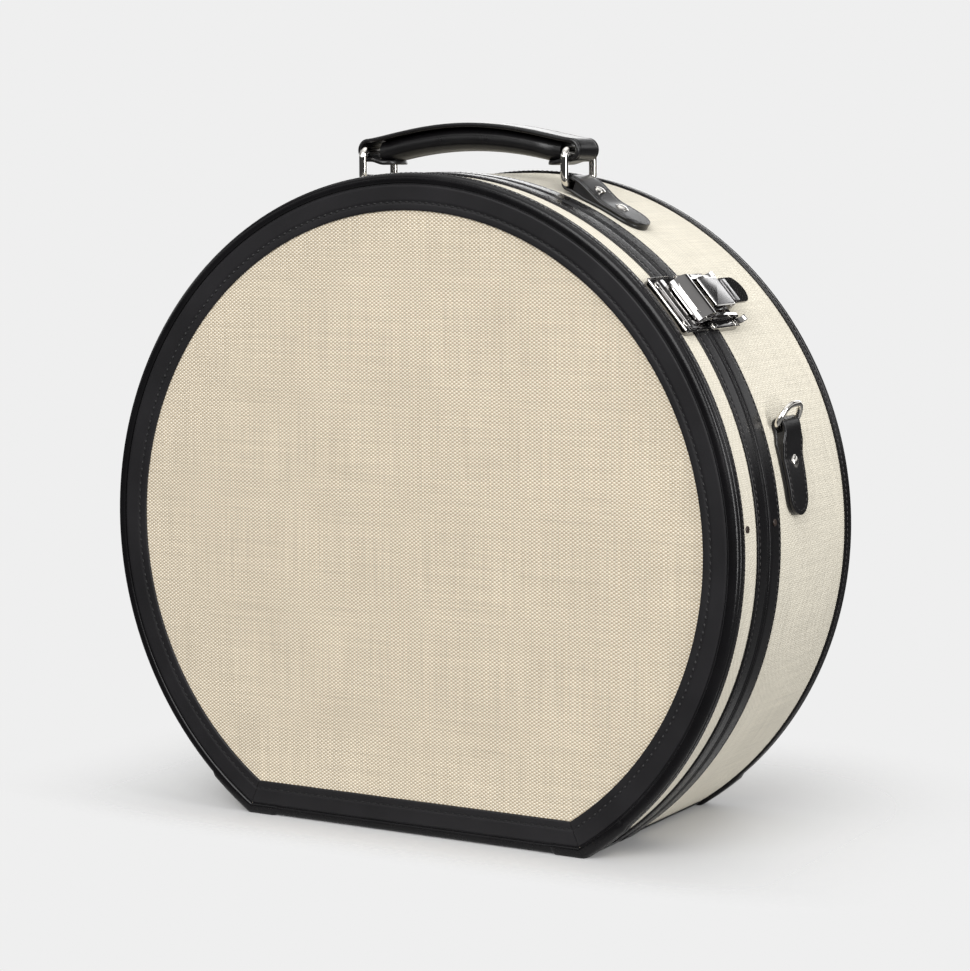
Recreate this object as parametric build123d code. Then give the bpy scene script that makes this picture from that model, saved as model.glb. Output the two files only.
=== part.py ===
from build123d import *
import os
from math import asin, cos, degrees, radians, sin, sqrt

# Hat box: a round case with a flat foot, linen over board, bound in black leather.
# Frame: +X to the right, +Y to the back, +Z up. The origin is at the middle of the flat foot.
# The case is a drum whose axis runs along Y. Fittings are drawn on top of the drum and
# then turned about the drum's axis to where they sit.

os.makedirs("parts", exist_ok=True)

# ---------------------------------------------------------------- driving sizes (mm)
LINEN_R = 201.5          # outside of the linen round the drum
FOOT_DROP = 170.0        # drum axis above the foot
CASE_DEPTH = 155.0       # front rim face to back rim face
LID_DEPTH = 40.5         # front rim face to the middle of the seam
SEAM_GAP = 0.6           # between the lid's edge and the body's edge

BOARD_T = 4.0            # fibreboard wall
LINEN_T = 0.8
LINING_T = 1.0
BAND_T = 1.3             # leather of the edge bands
RIM_SIDE_T = 1.5         # leather of the rims, on the drum's side
RIM_FACE_T = 2.0         # leather of the rims, on the flat faces
RIM_SIDE_W = 9.5         # how far a rim reaches along the drum
RIM_FACE_W = 5.9         # how far a rim reaches over a flat face
RIM_ROUND = 3.2          # rounding of a rim's outer edge
GROOVE_W = 0.6           # between a rim and the flat border inside it
BORDER_T = 1.1
BORDER_W = 16.7
FOOT_BORDER_W = 13.5     # the border is narrower along the foot
LID_BAND_W = 14.1
BODY_BAND_W = 15.2
FOOT_T = 2.6             # foot leather under the board
PATCH_T = 0.7            # corner patches over the rims
PATCH_W = 24.0           # how far a corner patch reaches along the foot
PATCH_H = 21.0           # and up the drum's side

LIP_T = 2.4              # register lip inside the opening
LIP_REACH = 8.0          # how far it stands into the lid
LIP_SEAT = 18.0          # how far it is glued into the body
LIP_CLEARANCE = 0.6

HINGE_L = 198.0
HINGE_R = 2.0            # knuckle radius
HINGE_PIN_R = 1.0
HINGE_FIT = 0.06         # radial clearance of the pin in the lid's knuckles
HINGE_AXIS_Z = 2.4
HINGE_LEAF_T = 1.0
HINGE_LEAF_W = 13.0
HINGE_KNUCKLES = 11
HINGE_KNUCKLE_GAP = 0.4
HINGE_RELIEF = 3.4       # leather is cut back this far each side of the seam, under the foot
HINGE_POCKET_H = 2.4     # pocket over the axis, in the board

RING_WIRE_R = 2.25       # handle rings
RING_IN_X = 66.5         # ring position, each side of the middle
RING_BAR_RISE = 6.2      # lower bar's centre above the linen
RING_H = 18.4            # centre to centre of the two bars
RING_W = 34.0            # centre to centre of the two legs
RING_BEND_R = 4.2
RING_FIT = 0.2           # radial clearance of a ring's bar in its leather loop

DEE_WIRE_R = 1.75        # side rings
DEE_W = 25.0             # centre to centre of the legs
DEE_H = 12.3             # bar to the top of the bow, centre to centre
DEE_BEND_R = 2.6         # bends at the ends of the bar
DEE_LEAN = 25.0          # the ring leans out from upright
DEE_ANGLE = 18.8         # place of the bar, degrees above the drum's axis
DEE_BAR_RISE = 4.4

STRAP_W = 25.0           # handle
STRAP_T = 2.6
HANDLE_TOP = 15.6        # top of the grip above the upper bars' centres
LOOP_R = 6.7             # outside of the handle's end loops
GRIP_END_GAP = 0.5       # between the padded part and the strap's turned-back ends
GRIP_W = 21.0
GRIP_END_DROP = 5.6      # the padded part's underside at its ends, under its middle
GRIP_MID_T = 13.2
GRIP_ROUND = 6.5
TONGUE_IN = 17.0         # the strap's end, turned back under the loop

LATCH_ANGLE = 40.7       # degrees above the drum's axis
LATCH_W = 37.0
LATCH_PLATE_T = 1.2
KEEPER_FRONT = 12.0      # keeper's front edge, from the front rim face
KEEPER_BACK_GAP = 2.2    # keeper's back edge, from the seam
KEEPER_BEAD_Y = 7.5      # bead's centre, in front of the seam
KEEPER_BEAD_R = 1.5
BASE_FRONT_GAP = 1.6     # base plate's front edge, behind the seam
BASE_L = 37.0
CHEEK_IN = 12.3          # inner face of each cheek, from the middle
CHEEK_T = 1.6
LEVER_PIVOT_Y = 6.6      # lever pivot behind the seam
LEVER_PIVOT_Z = 3.5      # lever pivot over the plates
LEVER_PIN_R = 1.1
PIN_FIT = 0.06
LEVER_W = 19.5
LEVER_WALL = 1.25
LEVER_L = 23.0
LEVER_TOP_Z = 8.7        # lever's top over the plates
LEVER_NOSE_R = 2.9
THUMB_L = 24.0
THUMB_W = 17.0
THUMB_T = 1.4
THUMB_NECK_W = 13.0
LINK_PIVOT_Y = 11.0      # link pivot behind the lever's pivot
LINK_PIVOT_Z = 2.6       # link pivot over the lever's pivot
LINK_PIN_R = 0.9
LINK_ARM_IN = 10.1
LINK_ARM_T = 1.4
LINK_ARM_LOW = 1.5       # arm's lower edge over the lever's pivot
LINK_ARM_HIGH = 4.3
LINK_EYE_R = 2.2
DOME_W = 27.0
DOME_T = 1.3
DOME_HOOK_GAP = 0.4      # hook's lip to the keeper's bead
DOME_BACK_GAP = 1.0      # dome's back edge in front of the lever's nose
LATCH_RIVET_R = 1.3
LATCH_RIVET_HEAD_R = 2.1
LATCH_RIVET_HEAD_T = 0.9

CHAPE_L = 48.0           # handle chapes, from the bar to the tip
CHAPE_W = 25.0
CHAPE_T = 4.8
CHAPE_FOLD_R = 5.3
CHAPE_SLOPE = 24.0       # where the fold's slope meets the flat part
CHAPE_RIVETS = (13.0, 30.0)
TAB_L = 49.5             # side tabs
TAB_W = 25.0
TAB_NECK_W = 18.0
TAB_T = 4.2
TAB_FOLD_R = 4.2
TAB_SLOPE = 15.0
TAB_RIVETS = (20.5,)
RIVET_R = 1.6
RIVET_HEAD_R = 3.9
RIVET_HEAD_T = 1.5
RIVET_SEAT = 0.6         # how deep a rivet's head is let into the leather

STAY_RIVET_ANGLE = 4.5   # small rivets at mid height
STAY_RIVET_R = 1.0
STAY_RIVET_HEAD_R = 2.0
STAY_RIVET_HEAD_T = 0.7
STAY_LID_Y = 15.4        # from the front rim face
STAY_BODY_Y = 47.5

BIG = 1000.0             # larger than the whole case
TOUCH = 0.05             # under a part that follows the drum's curve

# ---------------------------------------------------------------- sizes that follow
FRONT_Y = -CASE_DEPTH / 2
BACK_Y = CASE_DEPTH / 2
SEAM_Y = FRONT_Y + LID_DEPTH
LID_EDGE_Y = SEAM_Y - SEAM_GAP / 2
BODY_EDGE_Y = SEAM_Y + SEAM_GAP / 2
BOARD_R = LINEN_R - LINEN_T
BOARD_IN_R = BOARD_R - BOARD_T
LINING_IN_R = BOARD_IN_R - LINING_T
BAND_R = LINEN_R + BAND_T
RIM_R = LINEN_R + RIM_SIDE_T
AXIS_Z = FOOT_DROP
BOARD_FOOT_Z = FOOT_T
BOARD_IN_FOOT_Z = BOARD_FOOT_Z + BOARD_T
LINING_IN_FOOT_Z = BOARD_IN_FOOT_Z + LINING_T
UNDER_BAND_Z = FOOT_T - BAND_T
BOARD_FRONT_Y = FRONT_Y + RIM_FACE_T
BOARD_BACK_Y = BACK_Y - RIM_FACE_T
RIM_IN_R = RIM_R - RIM_FACE_W
RIM_IN_FOOT_Z = RIM_FACE_W - 0.3
BORDER_OUT_R = RIM_IN_R - GROOVE_W
BORDER_OUT_FOOT_Z = RIM_IN_FOOT_Z + GROOVE_W
BORDER_IN_R = BORDER_OUT_R - BORDER_W
BORDER_IN_FOOT_Z = BORDER_OUT_FOOT_Z + FOOT_BORDER_W
LID_BAND_Y = SEAM_Y - LID_BAND_W
BODY_BAND_Y = SEAM_Y + BODY_BAND_W
PLATE_TOP_R = BAND_R + LATCH_PLATE_T
GRIP_HALF = RING_IN_X - TONGUE_IN - GRIP_END_GAP


# ---------------------------------------------------------------- helpers
def dee(radius, foot_z):
    """The case's outline in the XZ plane: a circle cut flat at foot_z."""
    keep = Pos(0, foot_z + BIG / 2) * Rectangle(BIG, BIG)
    return Pos(0, AXIS_Z) * Circle(radius) & keep


def along_y(sketch, y_low, y_high):
    """A sketch in X and Z, carried from y_low to y_high."""
    plane = Plane(origin=(0, y_high, 0), x_dir=(1, 0, 0), z_dir=(0, -1, 0))
    return extrude(plane * sketch, amount=y_high - y_low)


def drum(radius, y_low=-BIG / 2, y_high=BIG / 2):
    """A cylinder about the drum's axis, drawn with that axis at z = 0."""
    return Pos(0, (y_low + y_high) / 2, 0) * Rot(90, 0, 0) * Cylinder(radius, y_high - y_low)


def block(x_low, x_high, y_low, y_high, z_low, z_high):
    """A box between two corners."""
    middle = Pos((x_low + x_high) / 2, (y_low + y_high) / 2, (z_low + z_high) / 2)
    return middle * Box(x_high - x_low, y_high - y_low, z_high - z_low)


def bar_x(radius, x_low, x_high, y, z):
    """A round bar along X."""
    return Pos((x_low + x_high) / 2, y, z) * Rot(0, 90, 0) * Cylinder(radius, x_high - x_low)


def to_place(shape, angle):
    """Turn a fitting drawn on top of the drum to its angle, on the right."""
    return Pos(0, 0, AXIS_Z) * Rot(0, 90 - angle, 0) * shape


def both(shape):
    """A right-hand piece and its mirror image, as one group."""
    return Compound(children=[*shape.solids(), *mirror(shape, about=Plane.YZ).solids()])


def group(shapes):
    """Separate solids kept in one node."""
    return Compound(children=[solid for shape in shapes for solid in shape.solids()])


def save(shape, name):
    export_step(shape, "parts/" + name + ".step")


def save_pair(shape, name):
    """A right-hand piece and its left-hand twin, each in its own node."""
    save(shape, name + "_right")
    save(mirror(shape, about=Plane.YZ), name + "_left")


# ---------------------------------------------------------------- fittings, drawn on top
def rivet(along, seat_r, shank_r, head_r, head_t, end_r):
    """A domed rivet standing radially, `along` mm round the drum from the top."""
    turn = Rot(0, degrees(along / LINEN_R), 0)
    head = Pos(0, 0, seat_r) * Cylinder(head_r, head_t, align=(Align.CENTER, Align.CENTER, Align.MIN))
    top_edge = head.edges().sort_by(Axis.Z)[-1]
    head = fillet(top_edge, head_t * 0.7)
    shank = Pos(0, 0, end_r) * Cylinder(shank_r, seat_r - end_r, align=(Align.CENTER, Align.CENTER, Align.MIN))
    return turn * (head + shank)


def rivet_hole(along, seat_r, shank_r, head_r, end_r, clear_r):
    """What a rivet needs cut away: its hole, and a flat seat open to the outside."""
    turn = Rot(0, degrees(along / LINEN_R), 0)
    hole = Pos(0, 0, end_r) * Cylinder(shank_r, seat_r - end_r, align=(Align.CENTER, Align.CENTER, Align.MIN))
    seat = Pos(0, 0, seat_r) * Cylinder(head_r, clear_r - seat_r, align=(Align.CENTER, Align.CENTER, Align.MIN))
    return turn * (hole + seat)


def tab_profile(bar_r, fold_r, slope, length, thickness):
    """Side view, in X and Z, of a leather tab folded round a ring's bar and laid on the drum."""
    top_r = LINEN_R + thickness
    end = length / LINEN_R
    slope_turn = slope / LINEN_R
    fold = Pos(0, bar_r) * Circle(fold_r)
    ramp = make_face(
        Polyline(
            (0, bar_r + fold_r),
            (fold_r * sin(radians(20)), bar_r + fold_r * cos(radians(20))),
            (top_r * sin(slope_turn), top_r * cos(slope_turn)),
            (LINEN_R * 0.99 * sin(slope_turn), LINEN_R * 0.99 * cos(slope_turn)),
            (0, LINEN_R * 0.99),
            close=True,
        )
    )
    wedge = make_face(
        Polyline((0, 0), (0, BIG), (BIG * sin(end), BIG * cos(end)), close=True)
    )
    laid = (Circle(top_r) - Circle(LINEN_R * 0.99)) & wedge
    return fold + ramp + laid - Circle(LINEN_R + TOUCH)


def leather_tab(bar_r, wire_r, fold_r, slope, length, width, neck_width, thickness, rivets, end_r):
    """A riveted leather tab with a fold that holds a ring. Returns the tab and its rivets."""
    clear_r = bar_r + 3 * fold_r
    profile = tab_profile(bar_r, fold_r, slope, length, thickness)
    profile = profile - Pos(0, bar_r) * Circle(wire_r + RING_FIT)
    tab = along_y(profile, -width / 2, width / 2)
    plan = Pos(length - width / 2, 0) * Circle(width / 2)
    neck = fold_r + 2.0
    plan += Pos((neck + length - width / 2) / 2, 0) * Rectangle(length - width / 2 - neck, width)
    plan += Pos((neck - 2 * fold_r) / 2, 0) * Rectangle(neck + 2 * fold_r, neck_width)
    tab = tab & extrude(plan, amount=BIG)
    pieces = []
    for along in rivets:
        share = min(along / slope, 1.0)
        leather_r = LINEN_R + thickness + (1 - share) * (bar_r + fold_r - LINEN_R - thickness)
        seat_r = leather_r - RIVET_SEAT
        tab = tab - rivet_hole(along, seat_r, RIVET_R, RIVET_HEAD_R, end_r - 1, clear_r)
        pieces.append(rivet(along, seat_r, RIVET_R, RIVET_HEAD_R, RIVET_HEAD_T, end_r))
    return tab, pieces


def through_wall(along, radius):
    """A radial hole through the linen and the board, drawn on top."""
    turn = Rot(0, degrees(along / LINEN_R), 0)
    return turn * Pos(0, 0, BOARD_IN_R - 2) * Cylinder(radius, 20, align=(Align.CENTER, Align.CENTER, Align.MIN))


def rounded_ring(width, height, bend_r, wire_r):
    """A closed wire ring in the YZ plane, standing on its lower bar's centre line."""
    path = Plane.YZ * Pos(0, height / 2) * RectangleRounded(width, height, bend_r)
    wire = path.wires()[0]
    start = wire @ 0
    section = Plane(origin=start, z_dir=wire % 0) * Circle(wire_r)
    return sweep(section, path=wire)


# ---------------------------------------------------------------- the two shells
def tub(radius, foot_z, wall, y_closed, y_open, floor):
    """A D-shaped tub: outside radius, flat at foot_z, closed by a floor at y_closed."""
    low, high = min(y_closed, y_open), max(y_closed, y_open)
    outer = along_y(dee(radius, foot_z), low, high)
    hollow = dee(radius - wall, foot_z + wall)
    if y_closed < y_open:
        return outer - along_y(hollow, y_closed + floor, y_open + 1)
    return outer - along_y(hollow, y_open - 1, y_closed - floor)


def loop_band(out_r, out_z, in_r, in_z, y_low, y_high):
    """A closed band round the drum and along its foot."""
    return along_y(dee(out_r, out_z) - dee(in_r, in_z), y_low, y_high)


# Room for the hinge: a slot through the leather under the seam, and a pocket in the board.
SEAM_SLOT = block(-BIG, BIG, SEAM_Y - HINGE_RELIEF, SEAM_Y + HINGE_RELIEF, -1, HINGE_AXIS_Z)
HINGE_POCKET = block(
    -HINGE_L / 2 - 1,
    HINGE_L / 2 + 1,
    SEAM_Y - HINGE_RELIEF,
    SEAM_Y + HINGE_RELIEF,
    -1,
    HINGE_AXIS_Z + HINGE_POCKET_H,
)
LEAF_ROOM = block(
    -HINGE_L / 2,
    HINGE_L / 2,
    SEAM_Y - HINGE_RELIEF - HINGE_LEAF_W,
    SEAM_Y + HINGE_RELIEF + HINGE_LEAF_W,
    BOARD_FOOT_Z - HINGE_LEAF_T,
    BOARD_FOOT_Z,
)

body_board = tub(BOARD_R, BOARD_FOOT_Z, BOARD_T, BOARD_BACK_Y, BODY_EDGE_Y, BOARD_T) - HINGE_POCKET
lid_board = tub(BOARD_R, BOARD_FOOT_Z, BOARD_T, BOARD_FRONT_Y, LID_EDGE_Y, BOARD_T) - HINGE_POCKET
body_lining = tub(
    BOARD_IN_R, BOARD_IN_FOOT_Z, LINING_T, BOARD_BACK_Y - BOARD_T, BODY_EDGE_Y, LINING_T
)
lid_lining = tub(
    BOARD_IN_R, BOARD_IN_FOOT_Z, LINING_T, BOARD_FRONT_Y + BOARD_T, LID_EDGE_Y, LINING_T
)


def side_linen(y_low, y_high):
    """Linen round the drum, from one foot corner over the top to the other."""
    return along_y(dee(LINEN_R, BOARD_FOOT_Z) - Pos(0, AXIS_Z) * Circle(BOARD_R), y_low, y_high)


body_linen = side_linen(BODY_EDGE_Y, BOARD_BACK_Y)
lid_linen = side_linen(BOARD_FRONT_Y, LID_EDGE_Y)


def foot_leather(y_low, y_high, band_low, band_high):
    """Leather under the foot, thinned where an edge band is laid over it."""
    sheet = along_y(dee(LINEN_R, 0) - dee(LINEN_R * 2, BOARD_FOOT_Z), y_low, y_high)
    under_band = block(-BIG, BIG, band_low, band_high, -1, UNDER_BAND_Z)
    return sheet - under_band - SEAM_SLOT - LEAF_ROOM


body_foot = foot_leather(BODY_EDGE_Y, BACK_Y - RIM_SIDE_W, SEAM_Y, BODY_BAND_Y)
lid_foot = foot_leather(FRONT_Y + RIM_SIDE_W, LID_EDGE_Y, LID_BAND_Y, SEAM_Y)


def edge_band(y_low, y_high):
    return loop_band(BAND_R, 0, LINEN_R, UNDER_BAND_Z, y_low, y_high) - SEAM_SLOT


body_band = edge_band(BODY_EDGE_Y, BODY_BAND_Y)
lid_band = edge_band(LID_BAND_Y, LID_EDGE_Y)


def rim(y_face, inward):
    """A leather rim over a flat face's edge. `inward` is +1 at the front and -1 at the back."""
    y_side = y_face + inward * RIM_SIDE_W
    y_board = y_face + inward * RIM_FACE_T
    solid = along_y(dee(RIM_R, 0), min(y_face, y_side), max(y_face, y_side))
    face_edges = [edge for edge in solid.edges() if abs(edge.center().Y - y_face) < 0.01]
    solid = fillet(face_edges, RIM_ROUND)
    y_past = y_side + inward
    solid -= along_y(dee(LINEN_R, BOARD_FOOT_Z), min(y_board, y_past), max(y_board, y_past))
    return solid - along_y(dee(RIM_IN_R, RIM_IN_FOOT_Z), -BIG / 2, BIG / 2)


def panel_linen(y_board, inward):
    y_face = y_board - inward * LINEN_T
    return along_y(dee(RIM_IN_R, RIM_IN_FOOT_Z), min(y_face, y_board), max(y_face, y_board))


def border(y_board, inward):
    y_low = y_board - inward * LINEN_T
    y_face = y_low - inward * BORDER_T
    return loop_band(
        BORDER_OUT_R, BORDER_OUT_FOOT_Z, BORDER_IN_R, BORDER_IN_FOOT_Z, min(y_low, y_face), max(y_low, y_face)
    )


def corner_patches(rim_solid, y_face, inward):
    """Leather patches over the rim at the two foot corners."""
    y_out = y_face - inward * PATCH_T
    y_in = y_face + inward * RIM_SIDE_W
    low, high = min(y_out, y_in), max(y_out, y_in)
    cover = along_y(dee(RIM_R + PATCH_T, 0) - dee(RIM_IN_R, RIM_IN_FOOT_Z), low, high)
    corner_x = sqrt(RIM_R**2 - AXIS_Z**2)
    room = block(corner_x - PATCH_W, BIG, low - 1, high + 1, -1, PATCH_H)
    inside = along_y(dee(LINEN_R, BOARD_FOOT_Z), -BIG / 2, BIG / 2)
    patch = (cover & room) - rim_solid - inside
    y_cut = y_face + inward * RIM_FACE_T
    behind = along_y(dee(RIM_R, -BIG), min(y_cut, y_in), max(y_cut, y_in))
    return both(patch - behind)


front_rim = rim(FRONT_Y, 1)
back_rim = rim(BACK_Y, -1)
front_patches = corner_patches(front_rim, FRONT_Y, 1)
back_patches = corner_patches(back_rim, BACK_Y, -1)


# ---------------------------------------------------------------- register lip
def register_lip():
    """A board lip glued into the body, standing into the lid with clearance."""
    seated = loop_band(
        LINING_IN_R,
        LINING_IN_FOOT_Z,
        LINING_IN_R - LIP_T,
        LINING_IN_FOOT_Z + LIP_T,
        BODY_EDGE_Y,
        BODY_EDGE_Y + LIP_SEAT,
    )
    standing = loop_band(
        LINING_IN_R - LIP_CLEARANCE,
        LINING_IN_FOOT_Z + LIP_CLEARANCE,
        LINING_IN_R - LIP_T,
        LINING_IN_FOOT_Z + LIP_T,
        SEAM_Y - LIP_REACH,
        BODY_EDGE_Y,
    )
    return seated + standing


# ---------------------------------------------------------------- hinge
KNUCKLE_PITCH = HINGE_L / HINGE_KNUCKLES


def hinge_leaf(side, first, hole_r):
    """One leaf of the long hinge. side is +1 for the body and -1 for the lid."""
    near = SEAM_Y + side * (HINGE_R + 0.4)
    far = SEAM_Y + side * (HINGE_RELIEF + HINGE_LEAF_W)
    z_low, z_high = BOARD_FOOT_Z - HINGE_LEAF_T, BOARD_FOOT_Z
    leaf = block(-HINGE_L / 2, HINGE_L / 2, min(near, far), max(near, far), z_low, z_high)
    for index in range(first, HINGE_KNUCKLES, 2):
        x_low = -HINGE_L / 2 + index * KNUCKLE_PITCH + HINGE_KNUCKLE_GAP / 2
        x_high = x_low + KNUCKLE_PITCH - HINGE_KNUCKLE_GAP
        leaf += bar_x(HINGE_R, x_low, x_high, SEAM_Y, HINGE_AXIS_Z)
        leaf += block(x_low, x_high, min(SEAM_Y, near), max(SEAM_Y, near), z_low, z_high)
    return leaf - bar_x(hole_r, -HINGE_L, HINGE_L, SEAM_Y, HINGE_AXIS_Z)


hinge_body_leaf = hinge_leaf(1, 0, HINGE_PIN_R)
hinge_lid_leaf = hinge_leaf(-1, 1, HINGE_PIN_R + HINGE_FIT)
hinge_pin = bar_x(HINGE_PIN_R, -HINGE_L / 2, HINGE_L / 2, SEAM_Y, HINGE_AXIS_Z)


# ---------------------------------------------------------------- handle
bar_r = LINEN_R + RING_BAR_RISE
ring_angle = 90 - degrees(asin(RING_IN_X / bar_r))
ring_z = AXIS_Z + sqrt(bar_r**2 - RING_IN_X**2)
upper_z = ring_z + RING_H
handle_ring = Pos(RING_IN_X, 0, ring_z) * rounded_ring(RING_W, RING_H, RING_BEND_R, RING_WIRE_R)


def arc_band(half_x, z_mid, z_end, thickness):
    """A curved strip in X and Z, through z_mid in the middle and z_end at both ends, on top."""
    rise = z_mid - z_end
    radius = (half_x**2 + rise**2) / (2 * rise)
    centre = Pos(0, z_mid - radius)
    strip = centre * (Circle(radius) - Circle(radius - thickness))
    return strip & Pos(0, z_mid) * Rectangle(2 * half_x, 4 * rise + 4 * thickness)


def handle_strap():
    """The top strap, turned round both rings, with its ends laid back under the loops."""
    top = arc_band(RING_IN_X, upper_z + HANDLE_TOP, upper_z + LOOP_R, STRAP_T)
    sketch = top
    for side in (1, -1):
        loop = Circle(LOOP_R) + Pos(-side * TONGUE_IN / 2, -LOOP_R + STRAP_T / 2) * Rectangle(TONGUE_IN, STRAP_T)
        loop += Pos(-side * LOOP_R / 2, (LOOP_R - STRAP_T) / 2 + STRAP_T / 2) * Rectangle(LOOP_R, LOOP_R)
        sketch += Pos(side * RING_IN_X, upper_z) * loop
    for side in (1, -1):
        sketch -= Pos(side * RING_IN_X, upper_z) * Circle(RING_WIRE_R + RING_FIT)
    return along_y(sketch, -STRAP_W / 2, STRAP_W / 2)


def handle_pad():
    """The padded core under the strap, between the loops."""
    strap_rise = HANDLE_TOP - LOOP_R
    strap_radius = (RING_IN_X**2 + strap_rise**2) / (2 * strap_rise)
    z_mid = upper_z + HANDLE_TOP - STRAP_T
    column = Pos(0, z_mid - GRIP_MID_T) * Rectangle(2 * GRIP_HALF, 3 * GRIP_MID_T)
    below_strap = Pos(0, z_mid + STRAP_T - strap_radius) * Circle(strap_radius - STRAP_T)
    under_radius = (GRIP_HALF**2 + GRIP_END_DROP**2) / (2 * GRIP_END_DROP)
    hollow = Pos(0, z_mid - GRIP_MID_T - under_radius) * Circle(under_radius)
    sketch = (column & below_strap) - hollow
    pad = along_y(sketch, -GRIP_W / 2, GRIP_W / 2)
    low_edges = [
        edge
        for edge in pad.edges()
        if abs(abs(edge.center().Y) - GRIP_W / 2) < 0.01 and edge.length > GRIP_HALF
    ]
    low_edges = sorted(low_edges, key=lambda edge: edge.center().Z)[:2]
    return fillet(low_edges, GRIP_ROUND)


chape, chape_rivets = leather_tab(
    bar_r, RING_WIRE_R, CHAPE_FOLD_R, CHAPE_SLOPE, CHAPE_L, CHAPE_W, CHAPE_W, CHAPE_T, CHAPE_RIVETS, BOARD_IN_R
)
side_tab, tab_rivets = leather_tab(
    LINEN_R + DEE_BAR_RISE,
    DEE_WIRE_R,
    TAB_FOLD_R,
    TAB_SLOPE,
    TAB_L,
    TAB_W,
    TAB_NECK_W,
    TAB_T,
    TAB_RIVETS,
    BOARD_IN_R,
)
chape = to_place(chape, ring_angle)
chape_rivets = to_place(group(chape_rivets), ring_angle)
side_tab = to_place(side_tab, DEE_ANGLE)
tab_rivets = to_place(group(tab_rivets), DEE_ANGLE)

# Side ring: a straight bar in the tab's fold and a broad bow that leans out.
dee_x = (LINEN_R + DEE_BAR_RISE) * cos(radians(DEE_ANGLE))
dee_z = AXIS_Z + (LINEN_R + DEE_BAR_RISE) * sin(radians(DEE_ANGLE))


def dee_ring():
    """A D-shaped wire in the YZ plane: a straight bar below, a broad bow above."""
    half = DEE_W / 2
    bend = DEE_BEND_R
    bow = DEE_H - bend
    lean = bend * (1 - sin(radians(45)))
    rise = bend + bow * sin(radians(45))
    reach = half - bow * (1 - cos(radians(45)))
    outline = Wire(
        [
            Edge.make_line((0, -half + bend, 0), (0, half - bend, 0)),
            Edge.make_three_point_arc((0, half - bend, 0), (0, half - lean, lean), (0, half, bend)),
            Edge.make_three_point_arc((0, half, bend), (0, reach, rise), (0, half - bow, DEE_H)),
            Edge.make_line((0, half - bow, DEE_H), (0, bow - half, DEE_H)),
            Edge.make_three_point_arc((0, bow - half, DEE_H), (0, -reach, rise), (0, -half, bend)),
            Edge.make_three_point_arc((0, -half, bend), (0, -half + lean, lean), (0, -half + bend, 0)),
        ]
    )
    section = Plane(origin=outline @ 0, z_dir=outline % 0) * Circle(DEE_WIRE_R)
    return sweep(section, path=outline)


dee_piece = Pos(dee_x, 0, dee_z) * Rot(0, DEE_LEAN, 0) * dee_ring()

# ---------------------------------------------------------------- latch, drawn on top
PIVOT_Y = SEAM_Y + LEVER_PIVOT_Y
PIVOT_R = PLATE_TOP_R + LEVER_PIVOT_Z
LINK_Y = PIVOT_Y + LINK_PIVOT_Y
LINK_R = PIVOT_R + LINK_PIVOT_Z
BEAD_Y = SEAM_Y - KEEPER_BEAD_Y


def yz_sketch(sketch, x_low, x_high):
    """A sketch in Y and Z, carried from x_low to x_high."""
    return extrude(Plane(origin=(x_low, 0, 0), x_dir=(0, 1, 0), z_dir=(1, 0, 0)) * sketch, amount=x_high - x_low)


def seated_plate(y_low, y_high, corner):
    """A latch plate, flat on top, hollowed beneath to the leather band and the linen."""
    plan = Pos(0, (y_low + y_high) / 2) * RectangleRounded(LATCH_W, y_high - y_low, corner)
    plate = extrude(Pos(0, 0, PLATE_TOP_R) * plan, amount=-4)
    plate -= drum(BAND_R + TOUCH, LID_BAND_Y, BODY_BAND_Y)
    return plate - drum(LINEN_R + TOUCH)


def latch_rivets(places, plate_top):
    solids = []
    for x, y in places:
        head = Pos(x, y, plate_top) * Cylinder(
            LATCH_RIVET_HEAD_R, LATCH_RIVET_HEAD_T, align=(Align.CENTER, Align.CENTER, Align.MIN)
        )
        head = fillet(head.edges().sort_by(Axis.Z)[-1], LATCH_RIVET_HEAD_T * 0.7)
        shank = Pos(x, y, BOARD_IN_R + 0.5) * Cylinder(
            LATCH_RIVET_R, plate_top - BOARD_IN_R - 0.5, align=(Align.CENTER, Align.CENTER, Align.MIN)
        )
        solids.append(head + shank)
    return solids


def latch_rivet_holes(places):
    return [
        Pos(x, y, BOARD_IN_R - 3) * Cylinder(LATCH_RIVET_R, 14, align=(Align.CENTER, Align.CENTER, Align.MIN))
        for x, y in places
    ]


KEEPER_Y = FRONT_Y + KEEPER_FRONT
KEEPER_END_Y = SEAM_Y - KEEPER_BACK_GAP
BASE_Y = SEAM_Y + BASE_FRONT_GAP
BASE_END_Y = BASE_Y + BASE_L
KEEPER_RIVETS = [(side * (LATCH_W / 2 - 5.5), KEEPER_Y + 5.0) for side in (-1, 1)]
BASE_RIVETS = [
    (side * (LATCH_W / 2 - LATCH_RIVET_HEAD_R - 0.2), y) for side in (-1, 1) for y in (BASE_Y + 5.0, BASE_END_Y - 5.0)
]


def keeper():
    """The lid's plate, with the bead that the link hooks over."""
    plate = seated_plate(KEEPER_Y, KEEPER_END_Y, 3.0)
    bead = Pos(BEAD_Y, PLATE_TOP_R + KEEPER_BEAD_R) * Circle(KEEPER_BEAD_R)
    bead += Pos(BEAD_Y, PLATE_TOP_R + KEEPER_BEAD_R / 2) * Rectangle(2 * KEEPER_BEAD_R, KEEPER_BEAD_R)
    plate += yz_sketch(bead, -DOME_W / 2 + 3, DOME_W / 2 - 3)
    for hole in latch_rivet_holes(KEEPER_RIVETS):
        plate -= hole
    return plate


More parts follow.
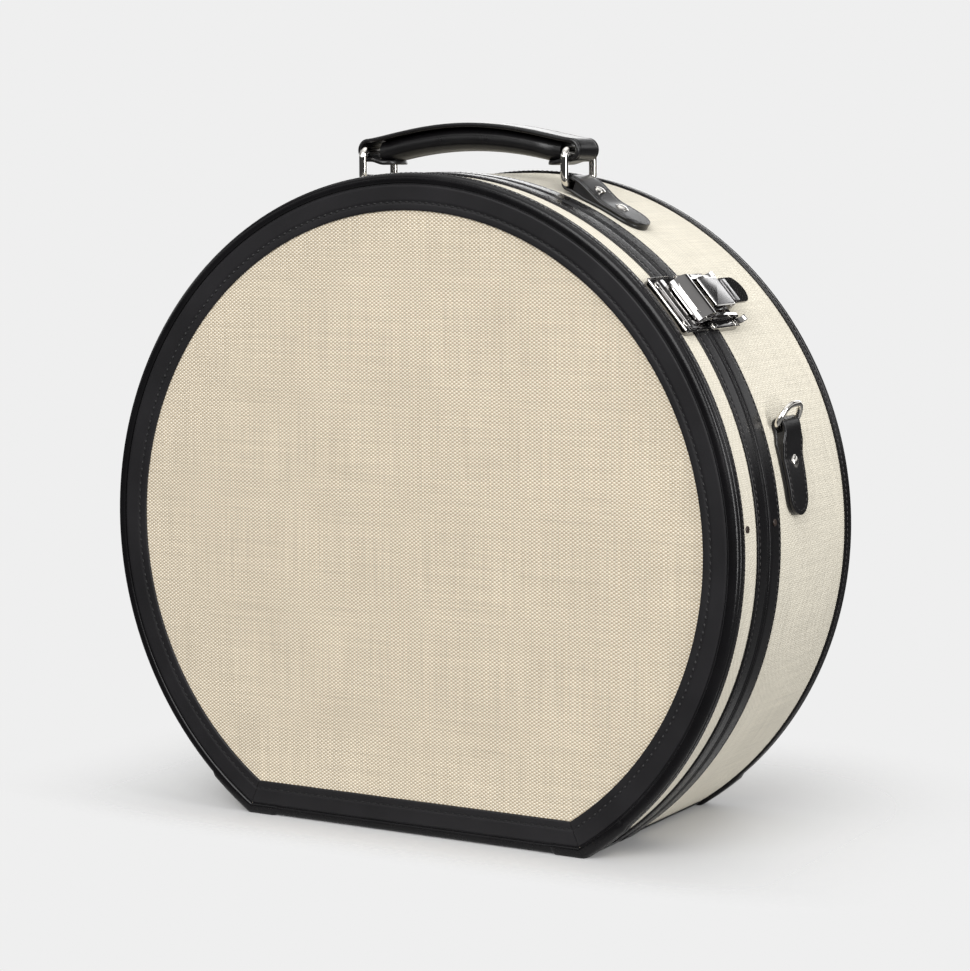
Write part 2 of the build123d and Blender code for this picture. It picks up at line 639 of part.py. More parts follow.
def latch_base():
    """The body's plate, with two cheeks that carry the lever's pin."""
    plate = seated_plate(BASE_Y, BASE_END_Y, 3.0)
    cheek = Pos(PIVOT_Y, PIVOT_R) * Circle(LEVER_PIVOT_Z)
    low = make_face(
        Polyline(
            (PIVOT_Y - LEVER_PIVOT_Z, PIVOT_R),
            (PIVOT_Y - LEVER_PIVOT_Z, PLATE_TOP_R),
            (BASE_END_Y - 1.5, PLATE_TOP_R),
            (BASE_END_Y - 1.5, PLATE_TOP_R + 3.2),
            (BASE_END_Y - 5.0, PLATE_TOP_R + 4.4),
            (PIVOT_Y + 1.0, PIVOT_R + LEVER_PIVOT_Z - 0.2),
            close=True,
        )
    )
    for side in (-1, 1):
        x_in = side * CHEEK_IN
        x_out = side * (CHEEK_IN + CHEEK_T)
        plate += yz_sketch(cheek + low, min(x_in, x_out), max(x_in, x_out))
    plate -= bar_x(LEVER_PIN_R, -LATCH_W, LATCH_W, PIVOT_Y, PIVOT_R)
    for hole in latch_rivet_holes(BASE_RIVETS):
        plate -= hole
    return plate


def latch_lever():
    """The lever: a channel that turns on the base's pin, with a round thumb piece behind."""
    top_z = PLATE_TOP_R + LEVER_TOP_Z
    side_view = make_face(
        Polyline(
            (PIVOT_Y, PIVOT_R - LEVER_NOSE_R),
            (PIVOT_Y + LEVER_L, PIVOT_R - 0.4),
            (PIVOT_Y + LEVER_L, top_z),
            (PIVOT_Y, top_z),
            close=True,
        )
    )
    side_view += Pos(PIVOT_Y, PIVOT_R) * Circle(LEVER_NOSE_R)
    lever = yz_sketch(side_view, -LEVER_W / 2, LEVER_W / 2)
    hollow = block(
        -LEVER_W / 2 + LEVER_WALL,
        LEVER_W / 2 - LEVER_WALL,
        PIVOT_Y - 10,
        PIVOT_Y + LEVER_L - LEVER_WALL,
        PIVOT_R - 10,
        top_z - LEVER_WALL,
    )
    lever -= hollow
    end_y = PIVOT_Y + LEVER_L
    neck = Pos(0, end_y + 1.5) * Rectangle(THUMB_NECK_W, 5.0)
    thumb = Pos(0, end_y + THUMB_L - THUMB_W / 2) * Circle(THUMB_W / 2)
    thumb += Pos(0, end_y + (THUMB_L - THUMB_W / 2 + 3.0) / 2) * Rectangle(THUMB_W, THUMB_L - THUMB_W / 2 - 3.0)
    plan = neck + thumb
    lever += extrude(Pos(0, 0, top_z - THUMB_T) * plan, amount=THUMB_T)
    lever -= bar_x(LEVER_PIN_R + PIN_FIT, -LATCH_W, LATCH_W, PIVOT_Y, PIVOT_R)
    return lever - bar_x(LINK_PIN_R, -LATCH_W, LATCH_W, LINK_Y, LINK_R)


def latch_link():
    """The link: a domed plate over the seam, hooked on the keeper, with two arms to the lever."""
    hook_y = BEAD_Y - KEEPER_BEAD_R - DOME_HOOK_GAP
    front_y = hook_y - DOME_T
    back_y = PIVOT_Y - LEVER_NOSE_R - DOME_BACK_GAP
    low_z = PLATE_TOP_R + 0.7
    crown_z = PIVOT_R + LINK_ARM_HIGH
    outer = make_face(
        Wire(
            [
                Edge.make_line((front_y, low_z), (front_y, low_z + 1.6)),
                Edge.make_three_point_arc(
                    (front_y, low_z + 1.6),
                    ((front_y + back_y) / 2 - 2.0, crown_z - 0.6),
                    (back_y, crown_z),
                ),
                Edge.make_line((back_y, crown_z), (back_y, low_z)),
                Edge.make_line((back_y, low_z), (front_y, low_z)),
            ]
        )
    )
    inner = make_face(
        Wire(
            [
                Edge.make_line((hook_y, low_z - 1), (hook_y, low_z + 1.4)),
                Edge.make_three_point_arc(
                    (hook_y, low_z + 1.4),
                    ((hook_y + back_y) / 2 - 1.4, crown_z - 0.6 - DOME_T),
                    (back_y + 1, crown_z - DOME_T),
                ),
                Edge.make_line((back_y + 1, crown_z - DOME_T), (back_y + 1, low_z - 1)),
                Edge.make_line((back_y + 1, low_z - 1), (hook_y, low_z - 1)),
            ]
        )
    )
    dome = yz_sketch(outer - inner, -DOME_W / 2, DOME_W / 2)
    skirt = yz_sketch(outer & Pos(0, low_z + BIG / 2 + 0.2) * Rectangle(BIG, BIG), -DOME_W / 2, DOME_W / 2)
    inside = block(-DOME_W / 2 + DOME_T, DOME_W / 2 - DOME_T, -BIG, BIG, 0, BIG)
    link = dome + (skirt - inside)
    arm_low = PIVOT_R + LINK_ARM_LOW
    arm_high = PIVOT_R + LINK_ARM_HIGH
    arm = Pos((back_y - 1 + LINK_Y) / 2, (arm_low + arm_high) / 2) * Rectangle(
        LINK_Y - back_y + 1, arm_high - arm_low
    )
    arm += Pos(LINK_Y, LINK_R) * Circle(LINK_EYE_R)
    for side in (-1, 1):
        x_in = side * LINK_ARM_IN
        x_out = side * (LINK_ARM_IN + LINK_ARM_T)
        link += yz_sketch(arm, min(x_in, x_out), max(x_in, x_out))
    return link - bar_x(LINK_PIN_R + PIN_FIT, -LATCH_W, LATCH_W, LINK_Y, LINK_R)


latch_pin = bar_x(LEVER_PIN_R, -CHEEK_IN - CHEEK_T, CHEEK_IN + CHEEK_T, PIVOT_Y, PIVOT_R)
link_pin = bar_x(LINK_PIN_R, -LINK_ARM_IN - LINK_ARM_T, LINK_ARM_IN + LINK_ARM_T, LINK_Y, LINK_R)
keeper_rivets = group(latch_rivets(KEEPER_RIVETS, PLATE_TOP_R))
base_rivets = group(latch_rivets(BASE_RIVETS, PLATE_TOP_R))


# ---------------------------------------------------------------- small rivets at mid height
def stay_rivet(y, seat_r):
    head = Pos(0, y, seat_r) * Cylinder(
        STAY_RIVET_HEAD_R, STAY_RIVET_HEAD_T, align=(Align.CENTER, Align.CENTER, Align.MIN)
    )
    head = fillet(head.edges().sort_by(Axis.Z)[-1], STAY_RIVET_HEAD_T * 0.7)
    shank = Pos(0, y, BOARD_IN_R + 0.5) * Cylinder(
        STAY_RIVET_R, seat_r - BOARD_IN_R - 0.5, align=(Align.CENTER, Align.CENTER, Align.MIN)
    )
    return head + shank


def stay_hole(y):
    return Pos(0, y, BOARD_IN_R - 3) * Cylinder(STAY_RIVET_R, 14, align=(Align.CENTER, Align.CENTER, Align.MIN))


lid_stay_y = FRONT_Y + STAY_LID_Y
body_stay_y = FRONT_Y + STAY_BODY_Y
lid_stay_rivet = to_place(stay_rivet(lid_stay_y, LINEN_R + TOUCH), STAY_RIVET_ANGLE)
body_stay_rivet = to_place(stay_rivet(body_stay_y, BAND_R + TOUCH), STAY_RIVET_ANGLE)


# ---------------------------------------------------------------- holes in the walls
def cut_both(shape, cutters):
    """Cut right-hand cutters and their mirror images from a piece."""
    for cutter in cutters:
        shape = shape - cutter - mirror(cutter, about=Plane.YZ)
    return shape


body_holes = [to_place(through_wall(along, RIVET_R), ring_angle) for along in CHAPE_RIVETS]
body_holes += [to_place(through_wall(along, RIVET_R), DEE_ANGLE) for along in TAB_RIVETS]
body_holes += [to_place(hole, LATCH_ANGLE) for hole in latch_rivet_holes(BASE_RIVETS)]
body_holes += [to_place(stay_hole(body_stay_y), STAY_RIVET_ANGLE)]
lid_holes = [to_place(hole, LATCH_ANGLE) for hole in latch_rivet_holes(KEEPER_RIVETS)]
lid_holes += [to_place(stay_hole(lid_stay_y), STAY_RIVET_ANGLE)]

# ---------------------------------------------------------------- write the pieces
save(cut_both(body_board, body_holes), "body_board")
save(body_lining, "body_lining")
save(cut_both(body_linen, body_holes), "body_side_linen")
save(cut_both(body_band, body_holes), "body_edge_band")
save(body_foot, "body_foot_leather")
save(back_rim, "back_rim")
save(panel_linen(BOARD_BACK_Y, -1), "back_panel_linen")
save(border(BOARD_BACK_Y, -1), "back_border")
save(back_patches, "back_corner_patches")
save(register_lip(), "register_lip")

save(cut_both(lid_board, lid_holes), "lid_board")
save(lid_lining, "lid_lining")
save(cut_both(lid_linen, lid_holes), "lid_side_linen")
save(cut_both(lid_band, lid_holes), "lid_edge_band")
save(lid_foot, "lid_foot_leather")
save(front_rim, "front_rim")
save(panel_linen(BOARD_FRONT_Y, 1), "front_panel_linen")
save(border(BOARD_FRONT_Y, 1), "front_border")
save(front_patches, "front_corner_patches")

save(hinge_body_leaf, "hinge_body_leaf")
save(hinge_lid_leaf, "hinge_lid_leaf")
save(hinge_pin, "hinge_pin")

save(handle_strap(), "handle_strap")
save(handle_pad(), "handle_pad")
save_pair(handle_ring, "handle_ring")
save_pair(chape, "handle_chape")
save(both(chape_rivets), "chape_rivets")

save_pair(side_tab, "side_tab")
save(both(tab_rivets), "side_tab_rivets")
save_pair(dee_piece, "dee_ring")

save_pair(to_place(keeper(), LATCH_ANGLE), "latch_keeper")
save_pair(to_place(latch_base(), LATCH_ANGLE), "latch_base")
save_pair(to_place(latch_pin, LATCH_ANGLE), "latch_pin")
save_pair(to_place(latch_lever(), LATCH_ANGLE), "latch_lever")
save_pair(to_place(latch_link(), LATCH_ANGLE), "latch_link")
save_pair(to_place(link_pin, LATCH_ANGLE), "latch_link_pin")
save(both(to_place(keeper_rivets, LATCH_ANGLE)), "latch_keeper_rivets")
save(both(to_place(base_rivets, LATCH_ANGLE)), "latch_base_rivets")

save(both(lid_stay_rivet), "lid_stay_rivets")
save(both(body_stay_rivet), "body_stay_rivets")
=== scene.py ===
"""Hat box: a round linen case with a flat foot, bound in black leather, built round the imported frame."""

import logging
from dataclasses import dataclass, field
from enum import Enum
from math import pi, radians

import bmesh
import bpy
import numpy as np
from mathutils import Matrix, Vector


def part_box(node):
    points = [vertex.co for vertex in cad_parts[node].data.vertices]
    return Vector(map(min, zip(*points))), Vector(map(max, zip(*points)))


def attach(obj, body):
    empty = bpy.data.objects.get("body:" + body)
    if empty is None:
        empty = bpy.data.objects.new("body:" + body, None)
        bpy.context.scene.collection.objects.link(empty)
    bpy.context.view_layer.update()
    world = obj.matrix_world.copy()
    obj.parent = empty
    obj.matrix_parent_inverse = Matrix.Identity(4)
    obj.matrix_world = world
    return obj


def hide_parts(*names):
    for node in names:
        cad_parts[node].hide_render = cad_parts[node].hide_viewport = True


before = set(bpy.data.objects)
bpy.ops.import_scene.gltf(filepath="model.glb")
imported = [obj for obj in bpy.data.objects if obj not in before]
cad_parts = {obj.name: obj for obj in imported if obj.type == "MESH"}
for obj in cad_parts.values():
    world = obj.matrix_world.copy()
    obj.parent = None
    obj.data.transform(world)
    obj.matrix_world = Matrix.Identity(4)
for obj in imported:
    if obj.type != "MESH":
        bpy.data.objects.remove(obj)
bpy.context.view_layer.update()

MM = 0.001
WELD = 2e-6  # metres: grid points closer than this are one vertex
CRISP = 32  # degrees: edges of pressed metal over this angle are broken
CHANNEL_W = 0.55  # mm: how wide a stitch channel is pressed into a strap
LOG = logging.getLogger("hat_box")


# ---------------------------------------------------------------- shader building
class Expr:
    """A node socket that can be used in ordinary arithmetic, each operation adding one Math node."""

    def __init__(self, tree: "Tree", socket: bpy.types.NodeSocket) -> None:
        """Wrap a socket.

        Args:
            tree: the material that the socket belongs to.
            socket: the output socket.
        """
        self.tree = tree
        self.socket = socket

    def _math(self, operation: str, *values: "Expr | float") -> "Expr":
        """Add a Math node.

        Args:
            operation: the node's operation.
            values: its inputs, in order.

        Returns:
            The result, wrapped.
        """
        node = self.tree.node("ShaderNodeMath", {"operation": operation}, dict(enumerate(values)))
        return Expr(self.tree, node.outputs[0])

    def __add__(self, other: "Expr | float") -> "Expr":
        """Sum."""
        return self._math("ADD", self, other)

    __radd__ = __add__

    def __sub__(self, other: "Expr | float") -> "Expr":
        """Difference."""
        return self._math("SUBTRACT", self, other)

    def __rsub__(self, other: float) -> "Expr":
        """Difference from a number."""
        return self._math("SUBTRACT", other, self)

    def __mul__(self, other: "Expr | float") -> "Expr":
        """Product."""
        return self._math("MULTIPLY", self, other)

    __rmul__ = __mul__

    def __pow__(self, other: float) -> "Expr":
        """Power."""
        return self._math("POWER", self, other)

    def __abs__(self) -> "Expr":
        """Absolute value."""
        return self._math("ABSOLUTE", self)

    def sin(self) -> "Expr":
        """Sine."""
        return self._math("SINE", self)

    def step(self, low: float, high: float) -> "Expr":
        """Smooth ramp from 0 at low to 1 at high.

        Args:
            low: where the ramp starts.
            high: where it ends.

        Returns:
            The ramp, wrapped.
        """
        settings = {"interpolation_type": "SMOOTHSTEP"}
        node = self.tree.node("ShaderNodeMapRange", settings, {0: self, 1: low, 2: high})
        return Expr(self.tree, node.outputs[0])


class Tree:
    """One material's node tree and the few helpers that its finishes share."""

    def __init__(self, name: str) -> None:
        """Start an empty material.

        Args:
            name: the material's name.
        """
        self.material = bpy.data.materials.new(name)
        self.material.use_nodes = True
        self.nodes = self.material.node_tree.nodes
        self.links = self.material.node_tree.links
        self.nodes.clear()

    def node(self, kind: str, settings: dict | None = None, inputs: dict | None = None) -> bpy.types.Node:
        """Add a node: its type, then its settings, then its sockets.

        Args:
            kind: the node's type.
            settings: attributes to set, or "stops" for a colour ramp.
            inputs: values or links for its inputs, by index or name.

        Returns:
            The node.
        """
        node = self.nodes.new(kind)
        for key, value in (settings or {}).items():
            setattr(node, key, value)
        for key, value in (inputs or {}).items():
            if isinstance(value, Expr):
                value = value.socket
            if isinstance(value, bpy.types.NodeSocket):
                self.links.new(value, node.inputs[key])
            else:
                node.inputs[key].default_value = value
        return node

    def object_point(self) -> bpy.types.NodeSocket:
        """Object coordinates, in metres."""
        return self.node("ShaderNodeTexCoord").outputs["Object"]

    def cloth_point(self) -> bpy.types.NodeSocket:
        """The piece's own UV map, in metres along and across the cloth."""
        return self.node("ShaderNodeUVMap", {"uv_map": "cloth"}).outputs[0]

    def split(self, vector: bpy.types.NodeSocket) -> tuple[Expr, Expr, Expr]:
        """A vector's three parts."""
        parts = self.node("ShaderNodeSeparateXYZ", None, {0: vector}).outputs
        return Expr(self, parts[0]), Expr(self, parts[1]), Expr(self, parts[2])

    def join(self, x: Expr | float, y: Expr | float, z: Expr | float = 0.0) -> bpy.types.NodeSocket:
        """Three numbers as a vector."""
        return self.node("ShaderNodeCombineXYZ", None, {0: x, 1: y, 2: z}).outputs[0]

    def noise(self, vector: bpy.types.NodeSocket, scale: float, detail: float = 2.0) -> Expr:
        """Fractal noise, about 0 to 1.

        Args:
            vector: where to read it.
            scale: cells per metre.
            detail: octaves.

        Returns:
            The noise, wrapped.
        """
        node = self.node("ShaderNodeTexNoise", None, {"Vector": vector, "Scale": scale, "Detail": detail})
        return Expr(self, node.outputs[0])

    def cells(self, vector: bpy.types.NodeSocket, scale: float) -> Expr:
        """Distance to the nearest cell centre, for a pebbled grain."""
        node = self.node("ShaderNodeTexVoronoi", None, {"Vector": vector, "Scale": scale})
        return Expr(self, node.outputs[0])

    def mix(self, share: Expr | float, first: object, second: object) -> bpy.types.NodeSocket:
        """Blend two colours.

        Args:
            share: 0 for the first, 1 for the second.
            first: a colour or socket.
            second: a colour or socket.

        Returns:
            The colour socket.
        """
        return self.node("ShaderNodeMix", {"data_type": "RGBA"}, {0: share, 6: first, 7: second}).outputs[2]

    def shade(self, colour: bpy.types.NodeSocket | tuple, amount: Expr) -> bpy.types.NodeSocket:
        """A colour made lighter or darker by a number."""
        return self.node("ShaderNodeVectorMath", {"operation": "SCALE"}, {0: colour, 3: amount}).outputs[0]

    def bump(self, height: Expr, depth: float, strength: float = 1.0) -> bpy.types.NodeSocket:
        """A bumped normal.

        Args:
            height: 0 to 1.
            depth: metres that 1 stands for.
            strength: the share that shows.

        Returns:
            The normal socket.
        """
        inputs = {"Height": height, "Distance": depth, "Strength": strength}
        return self.node("ShaderNodeBump", None, inputs).outputs[0]

    def finish(self, inputs: dict) -> bpy.types.Material:
        """Put a Principled shader on the output.

        Args:
            inputs: its sockets, by name.

        Returns:
            The material.
        """
        shader = self.node("ShaderNodeBsdfPrincipled", None, inputs)
        self.node("ShaderNodeOutputMaterial", None, {0: shader.outputs[0]})
        return self.material


def opaque(rgb: tuple[float, float, float]) -> tuple[float, float, float, float]:
    """A colour with full alpha."""
    return (*rgb, 1.0)


class Lay(Enum):
    """How a cloth lies: flat on a face, or wrapped round the drum."""

    FACE = "face"
    WRAP = "wrap"


@dataclass(frozen=True)
class Linen:
    """Plain-weave linen canvas: crossing threads with slubs. The pitch is in metres, across and up the cloth."""

    name: str
    lay: Lay
    light: tuple[float, float, float]
    dark: tuple[float, float, float]
    pitch: tuple[float, float] = (0.00140, 0.00098)
    depth: float = 0.00030
    uneven: float = 0.35
    roughness: float = 0.9
    wander: float = 0.0016  # metres that a thread strays

    def build(self) -> bpy.types.Material:
        """Make the cloth. Threads cross as sin(pi u / pitch) sin(pi v / pitch): above 0 the warp is on top.

        Returns:
            The material.
        """
        tree = Tree(self.name)
        if self.lay is Lay.FACE:
            u, _, v = tree.split(tree.object_point())
        else:
            u, v, _ = tree.split(tree.cloth_point())
        flat = tree.join(u, v)
        wander_u = (tree.noise(flat, 45.0, 1.0) - 0.5) * self.wander
        wander_v = (tree.noise(tree.join(v, u, 1.0), 45.0, 1.0) - 0.5) * self.wander
        cross = ((u + wander_u) * (pi / self.pitch[0])).sin() * ((v + wander_v) * (pi / self.pitch[1])).sin()
        knuckle = abs(cross) ** 0.6
        warp = tree.noise(tree.join(u * 900.0, v * 16.0), 1.0, 2.0)
        weft = tree.noise(tree.join(u * 14.0, v * 900.0, 3.0), 1.0, 2.0)
        cloudy = tree.noise(flat, 22.0, 3.0)
        slub = tree.noise(tree.join(u * 30.0, v * 520.0, 7.0), 1.0, 1.0).step(0.66, 0.8)
        top = (cross * 1.5 + 0.55).step(0.0, 1.0)
        colour = tree.mix(top * (knuckle * 0.5 + 0.5), opaque(self.dark), opaque(self.light))
        tone = (warp + weft - 1.0) * self.uneven + (cloudy - 0.5) * 0.16 + 1.0 - slub * 0.08
        height = knuckle * 0.75 + warp * 0.15 + weft * 0.1
        return tree.finish(
            {
                "Base Color": tree.shade(colour, tone),
                "Roughness": self.roughness,
                "Normal": tree.bump(height, self.depth),
                "Sheen Weight": 0.15,
                "Sheen Roughness": 0.5,
                "Specular IOR Level": 0.2,
            }
        )


@dataclass(frozen=True)
class Leather:
    """Dyed leather: pebbled grain, soft creases and uneven polish."""

    name: str
    colour: tuple[float, float, float]
    roughness: float = 0.45
    grain: float = 1100.0
    depth: float = 0.00008
    crease: float = 0.3
    level: float = 0.5

    def build(self) -> bpy.types.Material:
        """Make the leather: height = cells + creases, roughness follows the grain's hollows.

        Returns:
            The material.
        """
        tree = Tree(self.name)
        point = tree.object_point()
        pebble = tree.cells(point, self.grain)
        fold = tree.noise(point, 160.0, 3.0)
        broad = tree.noise(point, 28.0, 2.0)
        height = pebble * (1.0 - self.crease) + fold * self.crease
        colour = tree.mix(
            broad.step(0.25, 0.75),
            opaque(tuple(part * 0.8 for part in self.colour)),
            opaque(tuple(part * 1.25 for part in self.colour)),
        )
        dull = (fold - 0.5) * 0.12 + (broad - 0.5) * 0.08 + self.roughness
        return tree.finish(
            {
                "Base Color": colour,
                "Roughness": dull,
                "Normal": tree.bump(height, self.depth),
                "Specular IOR Level": self.level,
            }
        )


@dataclass(frozen=True)
class Metal:
    """Plated metal: handling marks in the polish and a faint wave in the plating."""

    name: str
    colour: tuple[float, float, float]
    roughness: float = 0.1
    marks: float = 0.1

    def build(self) -> bpy.types.Material:
        """Make the metal: roughness = polish + smudges + fine scratches.

        Returns:
            The material.
        """
        tree = Tree(self.name)
        point = tree.object_point()
        x, y, z = tree.split(point)
        smudge = tree.noise(point, 90.0, 3.0)
        scratch = tree.noise(tree.join(x * 300.0, y * 4000.0, z * 300.0), 1.0, 1.0).step(0.62, 0.75)
        colour = tree.mix(smudge.step(0.3, 0.8), opaque(self.colour), opaque(tuple(c * 0.86 for c in self.colour)))
        return tree.finish(
            {
                "Base Color": colour,
                "Metallic": 1.0,
                "Roughness": (smudge - 0.4) * self.marks + scratch * (self.marks * 0.5) + self.roughness,
                "Normal": tree.bump(smudge, 0.00004, 0.5),
            }
        )


@dataclass(frozen=True)
class Fibre:
    """A dull fibrous surface: board, thread, lining or paint."""

    name: str
    colour: tuple[float, float, float]
    scale: float = 700.0
    stretch: float = 1.0
    contrast: float = 0.25
    depth: float = 0.0001
    roughness: float = 0.85

    def build(self) -> bpy.types.Material:
        """Make the surface: fibres are noise stretched along Y, over a broad mottle.

        Returns:
            The material.
        """
        tree = Tree(self.name)
        point = tree.object_point()
        x, y, z = tree.split(point)
        fibre = tree.noise(tree.join(x * self.scale, y * (self.scale / self.stretch), z * self.scale), 1.0, 3.0)
        mottle = tree.noise(point, 40.0, 2.0)
        tone = (fibre - 0.5) * self.contrast + (mottle - 0.5) * (self.contrast * 0.6) + 1.0
        return tree.finish(
            {
                "Base Color": tree.shade(self.colour, tone),
                "Roughness": (fibre - 0.5) * 0.1 + self.roughness,
                "Normal": tree.bump(fibre, self.depth),
            }
        )


@dataclass
class Finishes:
    """Every finish on the case, built once."""

    face_linen: Linen = Linen("face_linen", Lay.FACE, (0.87, 0.80, 0.665), (0.46, 0.375, 0.26), uneven=0.30)
    side_linen: Linen = Linen(
        "side_linen",
        Lay.WRAP,
        (0.85, 0.81, 0.70),
        (0.50, 0.455, 0.36),
        pitch=(0.0012, 0.0009),
        depth=0.00026,
        uneven=0.34,
    )
    binding: Leather = Leather("binding_leather", (0.0034, 0.0031, 0.0037), roughness=0.27, depth=0.00004, level=0.28)
    border: Leather = Leather("border_leather", (0.0100, 0.0094, 0.0106), roughness=0.50, depth=0.00003, level=0.28)
    strap: Leather = Leather(
        "strap_leather", (0.0040, 0.0037, 0.0042), roughness=0.30, grain=700.0, depth=0.00010, crease=0.55, level=0.45
    )
    thread: Fibre = Fibre("black_thread", (0.0035, 0.0033, 0.0038), 2500.0, 1.0, 0.5, 0.00008, 0.6)
    waxed_thread: Fibre = Fibre("waxed_thread", (0.035, 0.032, 0.032), 2500.0, 1.0, 0.5, 0.00008, 0.4)
    pale_thread: Fibre = Fibre("worn_thread", (0.16, 0.14, 0.12), 2500.0, 1.0, 0.5, 0.00008, 0.6)
    nickel: Metal = Metal("polished_nickel", (0.82, 0.79, 0.74), 0.07, 0.10)
    # Latch nickel darkened in its colour: painted shade and painted dark reflections on the keeper, base, lever and
    # link.
    dark_nickel: Metal = Metal("dark_nickel", (0.24, 0.233, 0.23), 0.08, 0.08)
    # Latch nickel lightened in its colour: painted highlights on the edge beads, the link's ridges and the lever's
    # frame.
    painted_highlight_edge: Metal = Metal("painted_highlight_nickel", (0.72, 0.70, 0.68), 0.07, 0.08)
    # Lever nickel darkened in its colour: a painted dark reflection on the lever's face and thumb step.
    lever_face: Metal = Metal("lever_nickel", (0.20, 0.195, 0.20), 0.24, 0.08)
    hinge_steel: Metal = Metal("hinge_steel", (0.50, 0.49, 0.47), 0.28, 0.2)
    # Japanned black for the stay rivets; the same colour is painted shade on the keeper's two slot plates.
    dark_rivet: Fibre = Fibre("japanned_rivet_and_slot_shade", (0.030, 0.020, 0.016), 900.0, 1.0, 0.3, 0.00003, 0.35)
    board: Fibre = Fibre("fibreboard", (0.30, 0.22, 0.14), 900.0, 6.0, 0.35, 0.00012, 0.9)
    lining: Fibre = Fibre("cotton_lining", (0.72, 0.67, 0.57), 1100.0, 1.0, 0.16, 0.00010, 0.92)
    made: dict[str, bpy.types.Material] = field(default_factory=dict)

    def get(self, key: str) -> bpy.types.Material:
        """The built material for one of the finishes above.

        Args:
            key: the field's name.

        Returns:
            The material, made on first use.
        """
        if key not in self.made:
            self.made[key] = getattr(self, key).build()
        return self.made[key]


# ---------------------------------------------------------------- shells worked out with numpy
@dataclass
class Shell:
    """Points in millimetres and the faces between them."""

    points: np.ndarray
    faces: list[np.ndarray]
    uvs: list[np.ndarray] | None = None

    def volume(self) -> float:
        """Signed volume, the sum over triangles of a . (b x c) / 6."""
        total = 0.0
        for face in self.faces:
            corner = self.points[face]
            for k in range(1, face.shape[1] - 1):
                total += np.einsum("ij,ij->", corner[:, 0], np.cross(corner[:, k], corner[:, k + 1])) / 6.0
        return float(total)

    def outward(self) -> "Shell":
        """The same shell with its faces pointing out."""
        if self.volume() < 0:
            self.faces = [face[:, ::-1] for face in self.faces]
            self.uvs = None if self.uvs is None else [uv[:, ::-1] for uv in self.uvs]
        return self

    def moved(self, change: np.ndarray, shift: tuple[float, float, float] = (0, 0, 0)) -> "Shell":
        """A copy put through a 3 x 3 matrix and a shift.

        Args:
            change: the matrix.
            shift: added after it.

        Returns:
            The copy, facing outwards.
        """
        return Shell(self.points @ change.T + np.array(shift), list(self.faces), self.uvs).outward()

    def mirrored(self) -> "Shell":
        """The left-hand twin."""
        return self.moved(np.diag([-1.0, 1.0, 1.0]))

    def both(self) -> "Shell":
        """This shell and its left-hand twin."""
        return join_shells([self, self.mirrored()])


def join_shells(shells: list[Shell]) -> Shell:
    """Several shells as one.

    Args:
        shells: what to join.

    Returns:
        The joined shell.
    """
    offset, points, faces, uvs = 0, [], [], []
    for shell in shells:
        points.append(shell.points)
        faces += [face + offset for face in shell.faces]
        uvs += shell.uvs or [np.zeros((*face.shape, 2)) for face in shell.faces]
        offset += len(shell.points)
    return Shell(np.concatenate(points), faces, uvs if any(shell.uvs for shell in shells) else None)


def grid(
    points: np.ndarray,
    wrap_rows: bool = False,
    wrap_cols: bool = False,
    cap_rows: bool = False,
    cap_cols: bool = False,
    uv: np.ndarray | None = None,
) -> Shell:
    """A surface from points on a grid of two parameters, P[i, j].

    Args:
        points: rows x columns x 3.
        wrap_rows: the last row meets the first.
        wrap_cols: the last column meets the first.
        cap_rows: close the first and last rows with a face each.
        cap_cols: close the first and last columns with a face each.
        uv: rows x columns x 2, for surfaces that carry a pattern.

    Returns:
        The shell, facing outwards.
    """
    rows, cols = points.shape[:2]
    index = np.arange(rows * cols).reshape(rows, cols)
    i = np.arange(rows if wrap_rows else rows - 1)[:, None]
    j = np.arange(cols if wrap_cols else cols - 1)[None, :]
    after_i, after_j = (i + 1) % rows, (j + 1) % cols
    corners = [(i, j), (after_i, j), (after_i, after_j), (i, after_j)]
    faces = [np.stack([index[tuple(np.broadcast_arrays(*corner))].ravel() for corner in corners], 1)]
    if cap_rows:
        faces += [index[0][None, :], index[-1][None, ::-1]]
    if cap_cols:
        faces += [index[:, 0][None, ::-1], index[:, -1][None, :]]
    shell = Shell(points.reshape(-1, 3), faces)
    if uv is not None:
        shell.uvs = [uv.reshape(-1, 2)[face] for face in faces]
    return shell.outward()


def smooth(share: np.ndarray) -> np.ndarray:
    """3 t^2 - 2 t^3, with t held between 0 and 1."""
    share = np.clip(share, 0.0, 1.0)
    return share * share * (3 - 2 * share)


def about_y(turn: float) -> np.ndarray:
    """The matrix of a turn about Y: x' = x cos t + z sin t, z' = z cos t - x sin t."""
    return np.array([[np.cos(turn), 0, np.sin(turn)], [0, 1, 0], [-np.sin(turn), 0, np.cos(turn)]])


def lathe(profile: list[tuple[float, float]], sides: int = 28) -> Shell:
    """A profile of (radius, height) turned about Z: P = (r cos a, r sin a, h), closed at both poles.

    Args:
        profile: from one pole to the other.
        sides: points round the turn.

    Returns:
        The shell.
    """
    r, h = np.array(profile, float).T
    turn = np.linspace(0, 2 * pi, sides, endpoint=False)
    points = np.stack(
        [r[:, None] * np.cos(turn), r[:, None] * np.sin(turn), np.broadcast_to(h[:, None], (len(r), sides))], 2
    )
    return grid(points, wrap_cols=True)


def tube(path: np.ndarray, radius: float, sides: int = 18) -> Shell:
    """A closed wire in the YZ plane: P = path + r (cos a n + sin a x), with n the path's normal in its plane.

    Args:
        path: closed centre line, n x 3, at x = 0.
        radius: the wire's radius.
        sides: points round the wire.

    Returns:
        The shell.
    """
    along = np.roll(path, -1, 0) - np.roll(path, 1, 0)
    along /= np.linalg.norm(along, axis=1, keepdims=True)
    side = np.array([1.0, 0.0, 0.0])
    normal = np.cross(along, side)
    turn = np.linspace(0, 2 * pi, sides, endpoint=False)[None, :, None]
    points = path[:, None] + radius * (np.cos(turn) * normal[:, None] + np.sin(turn) * side)
    return grid(points, wrap_rows=True, wrap_cols=True)


